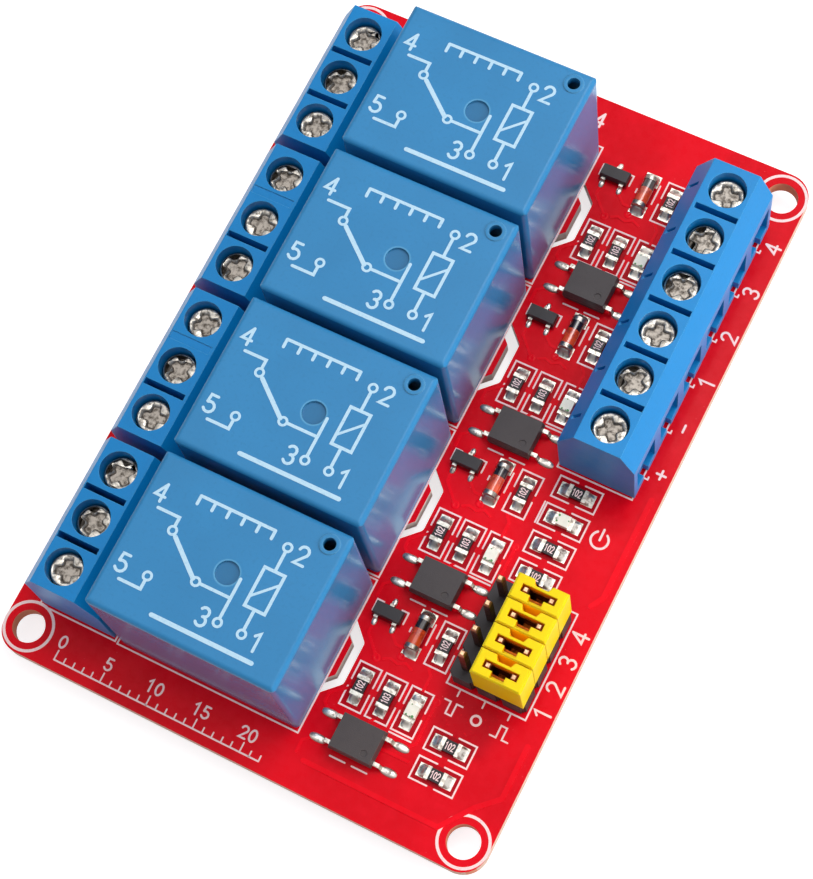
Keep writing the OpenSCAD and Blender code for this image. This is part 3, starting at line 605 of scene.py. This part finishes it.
moulding("lampResin", {"colour": tint(240, 234, 218), "paintedEdgeLight": tint(250, 248, 240), "paintedEdgeShare": 0.6,
                       "edge": 0.1, "rough": 0.25, "grain": 0.3, "depth": 0.01, "patch": 0.5,
                       "drift": 0.12})
moulding("lampGreen", {"colour": tint(66, 130, 62), "rough": 0.35, "edge": 0.03})

plated("brightSolder", {"colour": tint(222, 216, 208), "dull": tint(104, 92, 84), "rough": 0.34,
                        "patch": 0.5, "depth": 0.02, "stain": 0.85, "edge": 0.06, "nearSideShade": 0.7})
plated("tinned", {"colour": tint(204, 198, 188), "dull": tint(112, 100, 90), "rough": 0.32,
                  "patch": 0.45, "depth": 0.008, "edge": 0.04, "stain": 0.75})
plated("nickelWorn", {"colour": tint(196, 190, 180), "dull": tint(92, 84, 76), "rough": 0.36,
                      "patch": 0.4, "stain": 0.85, "depth": 0.03, "edge": 0.08,
                      "recess": (tint(138, 130, 122), tint(84, 76, 68))})
plated("nickelCage", {"colour": tint(208, 204, 190), "dull": tint(140, 130, 110), "rough": 0.3,
                      "patch": 1.2})
plated("goldPin", {"colour": tint(206, 168, 134), "dull": tint(150, 108, 78), "rough": 0.36,
                   "patch": 0.5, "drawn": (6, 6, 0.6), "shaftReflection": tint(96, 54, 40)})
plated("springBronze", {"colour": tint(150, 74, 22), "dull": tint(84, 32, 10), "rough": 0.42,
                        "patch": 0.8, "drawn": (0.6, 6, 6)})
plated("platedIron", {"colour": tint(190, 190, 194), "dull": tint(120, 118, 118), "rough": 0.34,
                      "patch": 1.6, "drawn": (0.5, 5, 5)})
plated("contactCopper", {"colour": tint(220, 160, 110), "dull": tint(150, 90, 60), "rough": 0.3,
                         "patch": 1.0})
plated("diodeCap", {"colour": tint(186, 178, 168), "dull": tint(58, 48, 44), "rough": 0.34,
                    "patch": 0.5, "stain": 0.9, "depth": 0.015})

slotsOf = {
    "boardMask": "board", "brightSolder": "solder chip_solder", "relayCase": "relay_case",
    "darkBlue": "relay_base", "natural": "coil_former", "coilWire": "coil_wire",
    "platedIron": "core_iron yoke_iron armature_iron", "contactCopper": "contact_metal",
    "springBronze": "contact_spring clip_metal", "terminalBlue": "terminal_plastic",
    "tinned": "relay_pin terminal_pin lead_metal chip_cap", "nickelWorn": "clamp_screw",
    "nickelCage": "clamp_cage", "headerBlack": "header_plastic", "goldPin": "header_pin",
    "jumperYellow": "jumper_plastic", "chipBody": "opto_body",
    "transistorBody": "transistor_body", "diodeGlass": "diode_glass", "diodeCap": "diode_cap",
    "resistorTop": "resistor_body", "lampResin": "lamp_body",
}
finishOfSlot = {slot: finish for finish, slots in slotsOf.items() for slot in slots.split()}
for name, thing in nodes.items():
    finish = finishes[finishOfSlot[slotOf[name]]]
    if not thing.material_slots:
        thing.data.materials.append(finish)
    for holder in thing.material_slots:
        holder.material = finish
print("finishes:", len(finishes))


# print on the board

silk = {"pen": 0.16, "thick": 0.02, "gap": 0.38, "sign": 0.22, "figure": 1.5,
        "hole": (23, 34.75), "ring": 2.4, "ringPen": 0.28,
        "tall": (2.22, 4.45), "flat": (4.4, 2.22),  # boxes round the chips
        "relay": (-14.5, 4.85, 8.02), "output": (-23.1, -14.8, 7.9)}  # ends, and half a width
ink = Stock()
onBoard = placed(0, 0, boardTop)


def inkLine(*points, wide=silk["pen"], closed=False):
    stroke(ink, points, wide, onBoard, silk["thick"], closed=closed, blunt=closed)


def inkBox(x0, y0, x1, y1):
    inkLine((x0, y0), (x1, y0), (x1, y1), (x0, y1), closed=True)


def inkRing(x, y, radius, steps, wide):
    stroke(ink, arc(x, y, radius, steps=steps), wide, onBoard, silk["thick"], closed=True)


def inkFigure(text, x, y, high=silk["figure"], wide=silk["sign"], turn=90):
    write(ink, text, x, y, boardTop, high, wide, turn)


def brackets(x, y, wide, tall, sideways=False):
    # a box drawn as two brackets, open in the middle of its long sides
    a, b, gap = wide / 2, tall / 2, silk["gap"]
    for s in (-1, 1):
        if sideways:
            inkLine((x + s * gap, y - b), (x + s * a, y - b), (x + s * a, y + b),
                    (x + s * gap, y + b))
        else:
            inkLine((x - a, y + s * gap), (x - a, y + s * b), (x + a, y + s * b),
                    (x + a, y + s * gap))


for sx in (-1, 1):
    for sy in (-1, 1):
        inkRing(sx * silk["hole"][0], sy * silk["hole"][1], silk["ring"], 48, silk["ringPen"])

for y in channels:
    upper, lower, optoY, transistorY = (y + chipRow[row] for row in
                                        ("upper", "lower", "opto", "transistor"))
    for x0, x1, half in (silk["relay"], silk["output"]):
        inkBox(x0, y - half, x1, y + half)
    for x in chipX:
        brackets(x, lower, *silk["tall"])
    inkLine((chipX[2] - 1.11, y - 4.25), (chipX[2] + 1.11, y - 4.25))
    brackets(chipX[2], upper, *silk["tall"])
    for s in (-1, 1):
        side = transistorX + s * 1.62
        inkLine((side, transistorY - 0.3), (side, transistorY + 0.85),
                (transistorX + s * 0.95, transistorY + 0.85))
        side = chipX[1] + s * 0.98  # beside the diode, longer at its band
        inkLine((side, upper - 0.15 - s * 0.45), (side, upper + 1.5 - (1 - s) * 0.8))
        inkLine((optoX + s * 0.35, optoY - 2.25), (optoX + s * 1.9, optoY - 2.25))
for y in looseY:
    brackets(extraX, y, *silk["flat"], sideways=True)
inkLine((extraX - 2.42, powerY - 1.11), (extraX - 2.42, powerY + 1.11))

# header, with a level mark under each column: low pulse, ring, high pulse
headerInk = {"box": (15.1, -22.4, 23.15, -11.4), "columns": (16.55, 19.1, 21.7), "tick": 0.7,
             "marks": -24.4, "pulse": (0.9, 0.3, 0.6), "figuresX": 24.3, "figure": 1.6,
             "figuresY": (-21.2, -18.6, -15.9, -13.3)}
edge = headerInk["box"][1]
inkBox(*headerInk["box"])
for x in headerInk["columns"]:
    inkLine((x, edge), (x, edge - headerInk["tick"]))

# input terminal, with a tick and a sign at each pole
inputInk = {"left": 0.1, "right": 22.95, "out": 0.25, "tick": (0.47, 0.36, 0.1),
            "signs": "+-1234", "signX": 24.4, "signUp": 0.57}
edge = inputInk["right"]
inkBox(inputLow[0] - inputInk["left"], inputLow[1] - inputInk["out"],
       edge, inputHigh[1] + inputInk["out"])
for y in inputY:
    out, far, near = inputInk["tick"]
    inkLine((edge, y - far), (edge + out, y - far), (edge + out, y - near))
for y, sign in zip(inputY, inputInk["signs"]):
    inkFigure(sign, inputInk["signX"], y + inputInk["signUp"])
for k, y in enumerate(headerInk["figuresY"]):
    inkFigure(str(k + 1), headerInk["figuresX"], y, headerInk["figure"])
out, half, up = headerInk["pulse"]
for x, s in zip(headerInk["columns"], (-1, 0, 1)):
    y = headerInk["marks"]
    if s:
        inkLine((x - out, y - s * up), (x - half, y - s * up), (x - half, y + s * up),
                (x + half, y + s * up), (x + half, y - s * up), (x + out, y - s * up))
    else:
        inkRing(x, y, 0.45, 16, silk["sign"])

# power sign beside its lamp
powerInk = {"x": 21.9, "y": -4.1, "radius": 0.85, "bar": 1.1}
x, y = powerInk["x"], powerInk["y"]
opened = arc(x, y, powerInk["radius"], 125, 415, steps=20)
stroke(ink, opened, silk["sign"], onBoard, silk["thick"])
inkLine((x, y), (x, y + powerInk["bar"]), wide=silk["sign"])

# scale of millimetres along the near edge
ruler = {"x": -19.2, "y": -36.5, "long": 22, "pen": 0.14, "tick": 0.55, "fifth": 0.95,
         "up": 1.85, "figure": 1.15, "figurePen": 0.19}
x, y = ruler["x"], ruler["y"]
inkLine((x, y), (x + ruler["long"], y))
for k in range(ruler["long"] + 1):
    tall = ruler["tick"] if k % 5 else ruler["fifth"]
    inkLine((x + k, y), (x + k, y + tall), wide=ruler["pen"])
for k in range(0, ruler["long"] + 1, 5):
    inkFigure(str(k), x + k, y + ruler["up"], ruler["figure"], ruler["figurePen"], 0)
inkFigure("4", 3.3, 35.2, wide=0.24, turn=0)  # the last channel, beyond its relay
ink.piece("board_print", "whiteInk")


# print on the relay cases

casePrint = {"pen": 0.3, "thin": 0.24, "bold": 0.42, "thick": 0.015, "sunk": 0.1, "ring": 0.38,
             "figure": 1.7, "figurePen": 0.27}


def relayMarks(node):
    look = casePrint
    x, y, _ = middleOf(node)
    z = caseTop - look["sunk"]  # the middle of the top lies this much below its rim
    marks = Stock()
    put = placed(x, y, z)

    def draw(*points, wide=look["pen"], closed=False):
        stroke(marks, points, wide, put, look["thick"], closed=closed, blunt=closed)

    def ring(u, v):
        stroke(marks, arc(u, v, look["ring"], steps=20), look["thin"], put, look["thick"],
               closed=True)

    def figure(text, u, v):
        write(marks, text, x + u, y + v, z, look["figure"], look["figurePen"],
              thick=look["thick"])

    # coil with its two ends
    draw((3.6, -1.9), (5.6, -1.9), (5.6, 1.9), (3.6, 1.9), closed=True)
    draw((3.6, -1.0), (5.6, 1.0), wide=look["thin"])
    for s in (-1, 1):
        draw((4.6, s * 1.9), (4.6, s * 3.9))
        ring(4.6, s * 4.3)
    figure("1", 6.1, -4.4)
    figure("2", 6.1, 4.2)
    # changeover contact
    draw((2.2, 0.0), (2.2, -3.9))
    ring(2.2, -4.3)
    figure("3", 0.8, -4.4)
    draw((-0.9, -1.9), (2.2, -1.9))
    ring(-1.3, -1.9)
    draw((-1.65, -1.75), (-4.9, 0.9), wide=look["bold"])
    ring(-5.4, 1.3)
    ring(-5.4, -3.3)
    draw((-5.4, 1.7), (-5.4, 2.6), (-7.6, 2.6))
    draw((-5.4, -3.7), (-5.4, -4.6), (-7.6, -4.6))
    figure("4", -8.0, 4.0)
    figure("5", -8.0, -3.2)
    # comb along the far edge and a bar along the near one
    draw((-4.6, 5.2), (2.9, 5.2))
    for k in range(6):
        draw((-4.6 + k * 1.5, 5.2), (-4.6 + k * 1.5, 4.4))
    draw((-3.4, -6.2), (6.6, -6.2), wide=look["bold"])
    marks.piece(node.replace("cover", "print"), "paleInk")


for i in (1, 2, 3, 4):
    relayMarks(f"relay_cover_{i}")


# tracks under the mask, and vias

trackLook = {"thick": 0.05, "thin": 0.28, "wander": 0.26, "feed": 0.3, "wide": 0.5, "output": 2.4,
             "via": [(0.42, 0.0), (0.38, 0.035), (0.24, 0.05), (0.1, 0.03), (0.03, 0.026)]}
tracks = Stock()


def track(points, wide=trackLook["thin"], under=False):
    level = boardLow[2] - trackLook["thick"] if under else boardTop
    stroke(tracks, points, wide, placed(0, 0, level), trackLook["thick"])


def run(x, y, *points, wide=trackLook["thin"]):  # a track by way of places near x, y
    track([(x + u, y + v) for u, v in points], wide)


def via(x, y):
    turned(tracks, trackLook["via"], x, y, boardTop, 16)


for y in channels:
    run(optoX, y, (3.9, -5.08), (4.7, -4.2), (4.7, -0.2))
    run(chipX[2], y, (0, 0.2), (0, 2.0), (-0.5, 2.6))
    run(chipX[1], y, (0, -3.6), (-0.5, -4.2))
    run(transistorX, y, (-0.95, 4.3), (-0.95, 3.2), (0.6, 1.6))
    run(transistorX, y, (0.95, 4.2), (1.9, 3.3), (3.4, 3.3))
    run(optoX, y, (-3.9, -5.08), (-4.7, -4.3), (-4.7, -3.4), (-3.2, -2.2))
    run(optoX, y, (-3.9, -7.6), (-4.9, -8.4), (-4.9, -9.6))
    run(optoX, y, (-1.6, 1.6), (-1.0, 1.9), (-0.2, 1.7), (0.5, 2.1), (1.2, 1.8),
        wide=trackLook["wander"])
    via(optoX + 4.7, y + 0.1)
    via(transistorX + 0.8, y + 1.4)
    via(optoX - 0.2, y + 2.5)
for y in channels:
    track([(optoX + 4.4, y - 5.08), (14.75, y - 5.08)])
track([(24.6, 1.5), (24.6, -9.0), (23.9, -10.2)], trackLook["wide"])
track([(10.5, -30.5), (15.2, -30.5)], trackLook["feed"])
track([(6.5, -34.6), (20.3, -34.6), (22.5, -31.6), (24.4, -29.8), (24.4, -24.5)],
      trackLook["wide"])

# wide output tracks and the drive side on the underside
commonRun = [(relayX + 4.2, -2.2), (relayX - 6.6, -2.2), (relayX - 8.6, 0)]  # y within a channel
for y in channels:
    for s in (-1, 1):
        track([(contactX, y + s * pinSide), (relayX - 9.3, y + s * 5.4),
               (outputPinX, y + s * pole)], trackLook["output"], under=True)
    track([(commonX, y)] + [(x, y + v) for x, v in commonRun] + [(outputPinX, y)],
          trackLook["output"], under=True)
    for s in (-1, 1):
        track([(coilX, y + s * pinSide), (relayEnd + 1.5, y + s * 6.6),
               (relayEnd + 5, y + s * 6.6)], trackLook["wide"], under=True)
tracks.piece("board_tracks", "trackMask")


# pads and solder at the small parts

padThick = 0.04
filletLook = {"steps": 7, "across": 8, "back": 0.25, "foot": 0.03, "fall": 1.7, "belly": 3.5}
moundLook = {"steps": 10, "around": 16, "square": (0.8, 0.9), "least": 0.02}
# solder at each kind of part: places from its middle, and sizes
chipSolder = {"at": 1.0, "wide": 1.25, "long": 0.78, "high": 0.5, "lampHigh": 0.36,
              "padAt": 1.22, "padWide": 1.3, "padLong": 1.15, "narrow": 0.1}
diodeSolder = {"at": 1.7, "wide": 1.45, "long": 0.7, "high": 0.75,
               "padAt": 1.75, "padWide": 1.6, "padLong": 1.3}
optoSolder = {"at": 3.65, "apart": 1.27, "size": (1.75, 0.82, 0.3)}
transistorSolder = {"at": 1.15, "side": 0.95, "size": (0.95, 0.56, 0.22)}
pads = Stock()
fillets = Stock()


def pad(x, y, wide, tall):
    pads.block((x - wide / 2, y - tall / 2, boardTop),
               (x + wide / 2, y + tall / 2, boardTop + padThick))


def fillet(x, y, turn, wide, long, high):
    # solder drawn up in a hollow curve from the pad to an end face, its tip round
    look = filletLook
    put = placed(x, y, boardTop, turn)
    rows = []
    for r in range(look["steps"] + 1):
        t = r / look["steps"]
        u = -look["back"] + (long + look["back"]) * t
        fall = high * (1 - max(u, 0) / long) ** look["fall"] if u < long else 0
        reach = wide / 2 * (1 - max(0, (t - 0.6) / 0.4) ** 2 * 0.55)
        row = []
        for c in range(look["across"] + 1):
            s = -1 + 2 * c / look["across"]
            side = 1 - abs(s) ** look["belly"]
            rise = fall * (0.25 + 0.75 * side) if abs(s) < 1 and t < 1 else 0
            row.append(put(u, s * reach, look["foot"] + rise))
        rows.append(row + [put(u, reach), put(u, -reach)])
    fillets.skin(rows)


def blob(x, y, turn, long, wide, high):
    # a round-ended mound of solder over a lead's foot
    look = moundLook
    put = placed(x, y, boardTop, turn)
    rows = []
    for r in range(look["steps"] + 1):
        a = math.pi / 2 * r / look["steps"]
        scale = max(math.cos(a), look["least"])
        row = []
        for c in range(look["around"]):
            b = 2 * math.pi * c / look["around"]
            u, v = (math.copysign(abs(w) ** power, w)
                    for w, power in zip((math.cos(b), math.sin(b)), look["square"]))
            row.append(put(u * long / 2 * scale, v * wide / 2 * scale, high * math.sin(a)))
        rows.append(row)
    fillets.skin(rows)


def bothEnds(x, y, look, high):  # a part along the board, its lower end a little narrower
    for s in (-1, 1):
        less = look.get("narrow", 0) * (1 - s)
        fillet(x, y + s * look["at"], 90 * s, look["wide"] - less, look["long"], high)
        pad(x, y + s * look["padAt"], look["padWide"] - less, look["padLong"])


def bothSides(x, y, look, high):  # a part across the board
    for s in (-1, 1):
        fillet(x + s * look["at"], y, 90 - 90 * s, look["wide"], look["long"], high)
        pad(x + s * look["padAt"], y, look["padLong"], look["padWide"])


for y in channels:
    for x, row, high in ((chipX[0], "lower", "high"), (chipX[1], "lower", "high"),
                         (chipX[2], "lower", "lampHigh"), (chipX[2], "upper", "high")):
        bothEnds(x, y + chipRow[row], chipSolder, chipSolder[high])
    bothEnds(chipX[1], y + chipRow["upper"], diodeSolder, diodeSolder["high"])
    look, middle = optoSolder, y + chipRow["opto"]
    for s in (-1, 1):
        for e in (-1, 1):
            blob(optoX + s * look["at"], middle + e * look["apart"], 0, *look["size"])
    look, middle = transistorSolder, y + chipRow["transistor"]
    for u, s in ((0, 1), (-look["side"], -1), (look["side"], -1)):
        blob(transistorX + u, middle + s * look["at"], 90, *look["size"])
for y in looseY:
    bothSides(extraX, y, chipSolder, chipSolder["lampHigh" if y == powerY else "high"])
fillets.piece("chip_fillets", "brightSolder", stands=("smd_solder",), smooth=50)
pads.piece("bare_pads", "tinned")


# solder round the pins on the underside

jointLook = {"high": 1.0, "pad": 0.05, "hollow": 2.2, "steps": 6, "around": 20,
             "strip": 1.3, "stripThick": 0.22}
jointSize = {"power": (1.6, 0.72), "contact": (1.6, 0.76), "coil": (1.2, 0.45),
             "terminal": (1.35, 0.56), "header": (0.9, 0.46)}  # radii of the pad and at the pin
joints = Stock()


def joint(x, y, size):
    # hollow cone of solder up a pin, standing on its pad
    look = jointLook
    radius, pin = jointSize[size]
    profile = [(radius, 0.0), (radius, -look["pad"])]
    for k in range(1, look["steps"] + 1):
        t = k / look["steps"]
        profile.append((pin + (radius - pin) * (1 - t) ** look["hollow"],
                        -look["pad"] - (look["high"] - 0.1) * t))
    profile.append((pin * 0.7, -look["high"]))
    turned(joints, profile, x, y, boardLow[2], look["around"])


def strip(points):
    # tinned strip along a bare stretch of a wide track
    thick = jointLook["stripThick"]
    stroke(joints, points, jointLook["strip"],
           placed(0, 0, boardLow[2] - thick - jointLook["pad"]), thick)


for y in channels:
    strip([(x, y + v) for x, v in commonRun] + [(outputX + 3.8, y)])
    for s in (-1, 1):
        strip([(relayX - 8.4, y + s * 5.65), (relayX - 9.3, y + s * 5.4),
               (outputX + 3.8, y + s * 5.2)])
    joint(commonX, y, "power")
    for s in (-1, 1):
        joint(coilX, y + s * pinSide, "coil")
        joint(contactX, y + s * pinSide, "contact")
    for v in poles:
        joint(outputPinX, y + v, "terminal")
for y in inputY:
    joint(inputPinX, y, "terminal")
for x, y in headerSpots:
    joint(x, y, "header")
joints.piece("pin_solder", "brightSolder", stands=("solder_joints",), smooth=40)


# header posts, square with drawn-in tips

postLook = {"wide": 0.64, "tip": 0.34, "taper": 0.42, "crown": 0.04, "shoulder": 0.42}
posts = Stock()
low, high = (corner[2] for corner in boxOf("header_pins"))
profile = [(postLook["tip"], low), (postLook["wide"], low + postLook["taper"]),
           (postLook["wide"], high - postLook["taper"]),
           (postLook["shoulder"], high - postLook["crown"]), (postLook["tip"], high)]
for x, y in headerSpots:
    posts.skin([square(x, y, wide / 2, z) for wide, z in profile])
posts.piece("header_posts", "goldPin", stands=("header_pins",))


# clamp screws

screwLook = {"head": 1.62, "headHigh": 1.4, "round": 0.16, "bevel": 0.05, "steps": 40,
             "cross": 1.0, "deep": 0.4, "taper": 0.34, "lip": (0.1, 0.04), "long": 1.42,
             "short": 1.34, "tipRound": (0.1, 0.12), "corner": 0.3, "shank": 1.18,
             "thread": 0.45, "threadDeep": 0.17}


def clampScrew(stock, x, y, top, bottom, turn):
    # crossed head with rounded rim and tapered slots, threaded shank below
    look = screwLook
    put = placed(x, y, top, turn)
    circle = arc(0, 0, 1, steps=look["steps"])[:-1]
    flat = look["head"] - look["round"]

    def ring(radius, z):
        return [put(radius * u, radius * v, z) for u, v in circle]

    def cross(grow, z):
        # one arm after another: its tip, then the rounded corner towards the next arm
        half, r = look["cross"] / 2 - grow * 0.5, look["corner"]
        back, side = look["tipRound"]
        around = []
        for k in range(4):
            reach = (look["short"] if k % 2 else look["long"]) - grow
            arm = placed(0, 0, 0, 90 * k)
            tip = [(reach - back, -half), (reach, -half + side), (reach, half - side),
                   (reach - back, half)]
            bend = [(half + r - r * math.sin(t), half + r - r * math.cos(t))
                    for t in (0, 0.52, 1.05, 1.57)]
            around += [arm(*p)[:2] for p in tip + bend]
        return [put(*p, z) for p in around]

    grow, sunk = look["lip"]
    floor = cross(look["taper"], -look["deep"])
    stock.flat(ring(flat, 0), cross(0, 0))
    stock.skin([cross(0, 0), cross(grow, -sunk), floor], capped=False)
    stock.flat(floor)

    rows = []
    for k in range(4):
        a = math.pi / 2 * k / 3
        rows.append(ring(flat + look["round"] * math.sin(a), -look["round"] * (1 - math.cos(a))))
    low = -look["headHigh"]
    rows += [ring(look["head"], low + look["bevel"]), ring(look["head"] - look["bevel"], low),
             ring(look["shank"], low)]
    for k in range(int((top - bottom - look["headHigh"]) / look["thread"])):
        z = low - (k + 0.5) * look["thread"]
        rows += [ring(look["shank"] - look["threadDeep"], z),
                 ring(look["shank"], z - look["thread"] / 2)]
    rows.append(ring(look["shank"] * 0.7, bottom - top))
    stock.skin(rows, capped=False)
    stock.add(rows[-1], [list(range(look["steps"]))])


def screwRow(name, node, spots, turns):
    low, high = boxOf(node)
    stock = Stock()
    for (x, y), turn in zip(spots, turns):
        clampScrew(stock, x, y, high[2], low[2], turn)
    stock.piece(name, "nickelWorn", stands=(node,), smooth=35)


screwRow("output_screws", "output_clamp_screws",
         [(outputX, y + v) for y in channels for v in poles],
         [20, 75, 48, 10, 62, 33, 80, 5, 52, 27, 68, 41])
screwRow("input_screws", "input_clamp_screws", [(inputX, y) for y in inputY],
         [35, 72, 12, 55, 84, 23])


# figures on the chip resistors

codeLook = {"high": 0.66, "pen": 0.09, "thick": 0.008, "wide": 0.6}
codes = [(0, "lower", "102"), (1, "lower", "103"), (2, "upper", "102")]
chipMarks = Stock()


def code(text, x, y, turn):
    write(chipMarks, text, x, y, chipTop, codeLook["high"], codeLook["pen"], turn,
          codeLook["thick"], codeLook["wide"])


for y in channels:
    for column, row, text in codes:
        code(text, chipX[column], y + chipRow[row], 90)
for y in extraY:
    code("102", extraX, y, 0)
chipMarks.piece("resistor_figures", "whiteInk")


# green marks on the chip lamps

dotLook = {"thick": 0.012, "crown": 0.016, "around": 10,
           "channel": [(0.3, -0.5, 0.13), (-0.32, -0.52, 0.1), (0.1, -0.56, 0.07),
                       (-0.2, 0.54, 0.07)],
           "power": [(-0.5, 0.3, 0.12), (-0.52, -0.3, 0.1), (0.54, 0.1, 0.07)]}
lampDots = Stock()


def dots(spots, x, y):
    for u, v, radius in spots:
        profile = [(radius, 0.0), (radius, dotLook["thick"]), (radius * 0.3, dotLook["crown"])]
        turned(lampDots, profile, x + u, y + v, lampTop, dotLook["around"])


for y in channels:
    dots(dotLook["channel"], chipX[2], y + chipRow["lower"])
dots(dotLook["power"], extraX, powerY)
lampDots.piece("lamp_dots", "lampGreen")


# floor, light and camera

studioLook = {
    "floorHalf": 1.6, "floor": (tint(188, 188, 190), tint(196, 196, 198)), "floorWhite": 0.72,
    "room": (0.24, 0.24, 0.245),
    "lamps": {"key": {"at": (0.10, 0.24, 0.50), "power": 1.25, "size": 0.26, "glint": True},
              "top": {"at": (0.0, 0.02, 0.80), "power": 2.5, "size": 0.9, "glint": True},
              "side": {"at": (0.45, 0.10, 0.15), "power": 1.85, "size": 0.35, "glint": False},
              "front": {"at": (0.15, -0.45, 0.35), "power": 0.25, "size": 0.5, "glint": False}},
    "camera": {"at": (0.049844, -0.055515, 0.202854), "turn": (18.8476, 5.5686, 27.0150),
               "lens": 91.64, "sensor": 36, "clip": (0.005, 20)},
}


def shown(name, data):  # an object in the scene
    thing = bpy.data.objects.new(name, data)
    bpy.context.collection.objects.link(thing)
    return thing


def paleFloor(level):
    f = Finish("paleFloor")
    f.set(Base_Color=f.mix(*studioLook["floor"], f.cloud(60, 3)), Roughness=0.8,
          Emission_Color=f.mix(black, white, f.seenRays()),
          Emission_Strength=studioLook["floorWhite"])
    clear = f.add("ShaderNodeBsdfTransparent")  # clear from below, for views of the underside
    back = f.add("ShaderNodeNewGeometry").out("Backfacing")
    both = f.add("ShaderNodeMixShader", {}, {0: back, 1: Wire(f, f.shader.outputs[0]), 2: clear})
    f.join(f.output.inputs["Surface"], both)
    mesh = bpy.data.meshes.new("floor")
    mesh.from_pydata(square(0, 0, studioLook["floorHalf"], level), [], [(0, 1, 2, 3)])
    mesh.materials.append(f.material)
    shown("floor", mesh)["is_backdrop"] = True


def softRoom(scene):
    scene.world = bpy.data.worlds.new("softRoom")
    scene.world.use_nodes = True
    sky = Graph(scene.world.node_tree)
    colour = sky.mix(studioLook["room"], white, sky.seenRays())
    light = sky.add("ShaderNodeBackground", {}, {"Color": colour})
    end = sky.tree.nodes.new("ShaderNodeOutputWorld")
    sky.join(end.inputs["Surface"], light)
    for name, look in studioLook["lamps"].items():
        lamp = bpy.data.lights.new(name, "AREA")
        lamp.energy, lamp.size = look["power"], look["size"]
        holder = shown(name, lamp)
        holder.location = look["at"]
        holder.rotation_euler = (-holder.location).to_track_quat("-Z", "Y").to_euler()
        holder.visible_glossy = look["glint"]  # low lamps leave no glare in the other views


def mainCamera(scene):
    look = studioLook["camera"]
    camera = bpy.data.cameras.new("camera")
    camera.lens, camera.sensor_width, camera.sensor_fit = look["lens"], look["sensor"], "AUTO"
    camera.clip_start, camera.clip_end = look["clip"]
    holder = shown("camera", camera)
    holder.location = look["at"]
    holder.rotation_euler = Euler([math.radians(a) for a in look["turn"]])
    scene.camera = holder
    scene.view_settings.view_transform = "Standard"


paleFloor(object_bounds()[0].z)
softRoom(bpy.context.scene)
mainCamera(bpy.context.scene)
print("studio set")
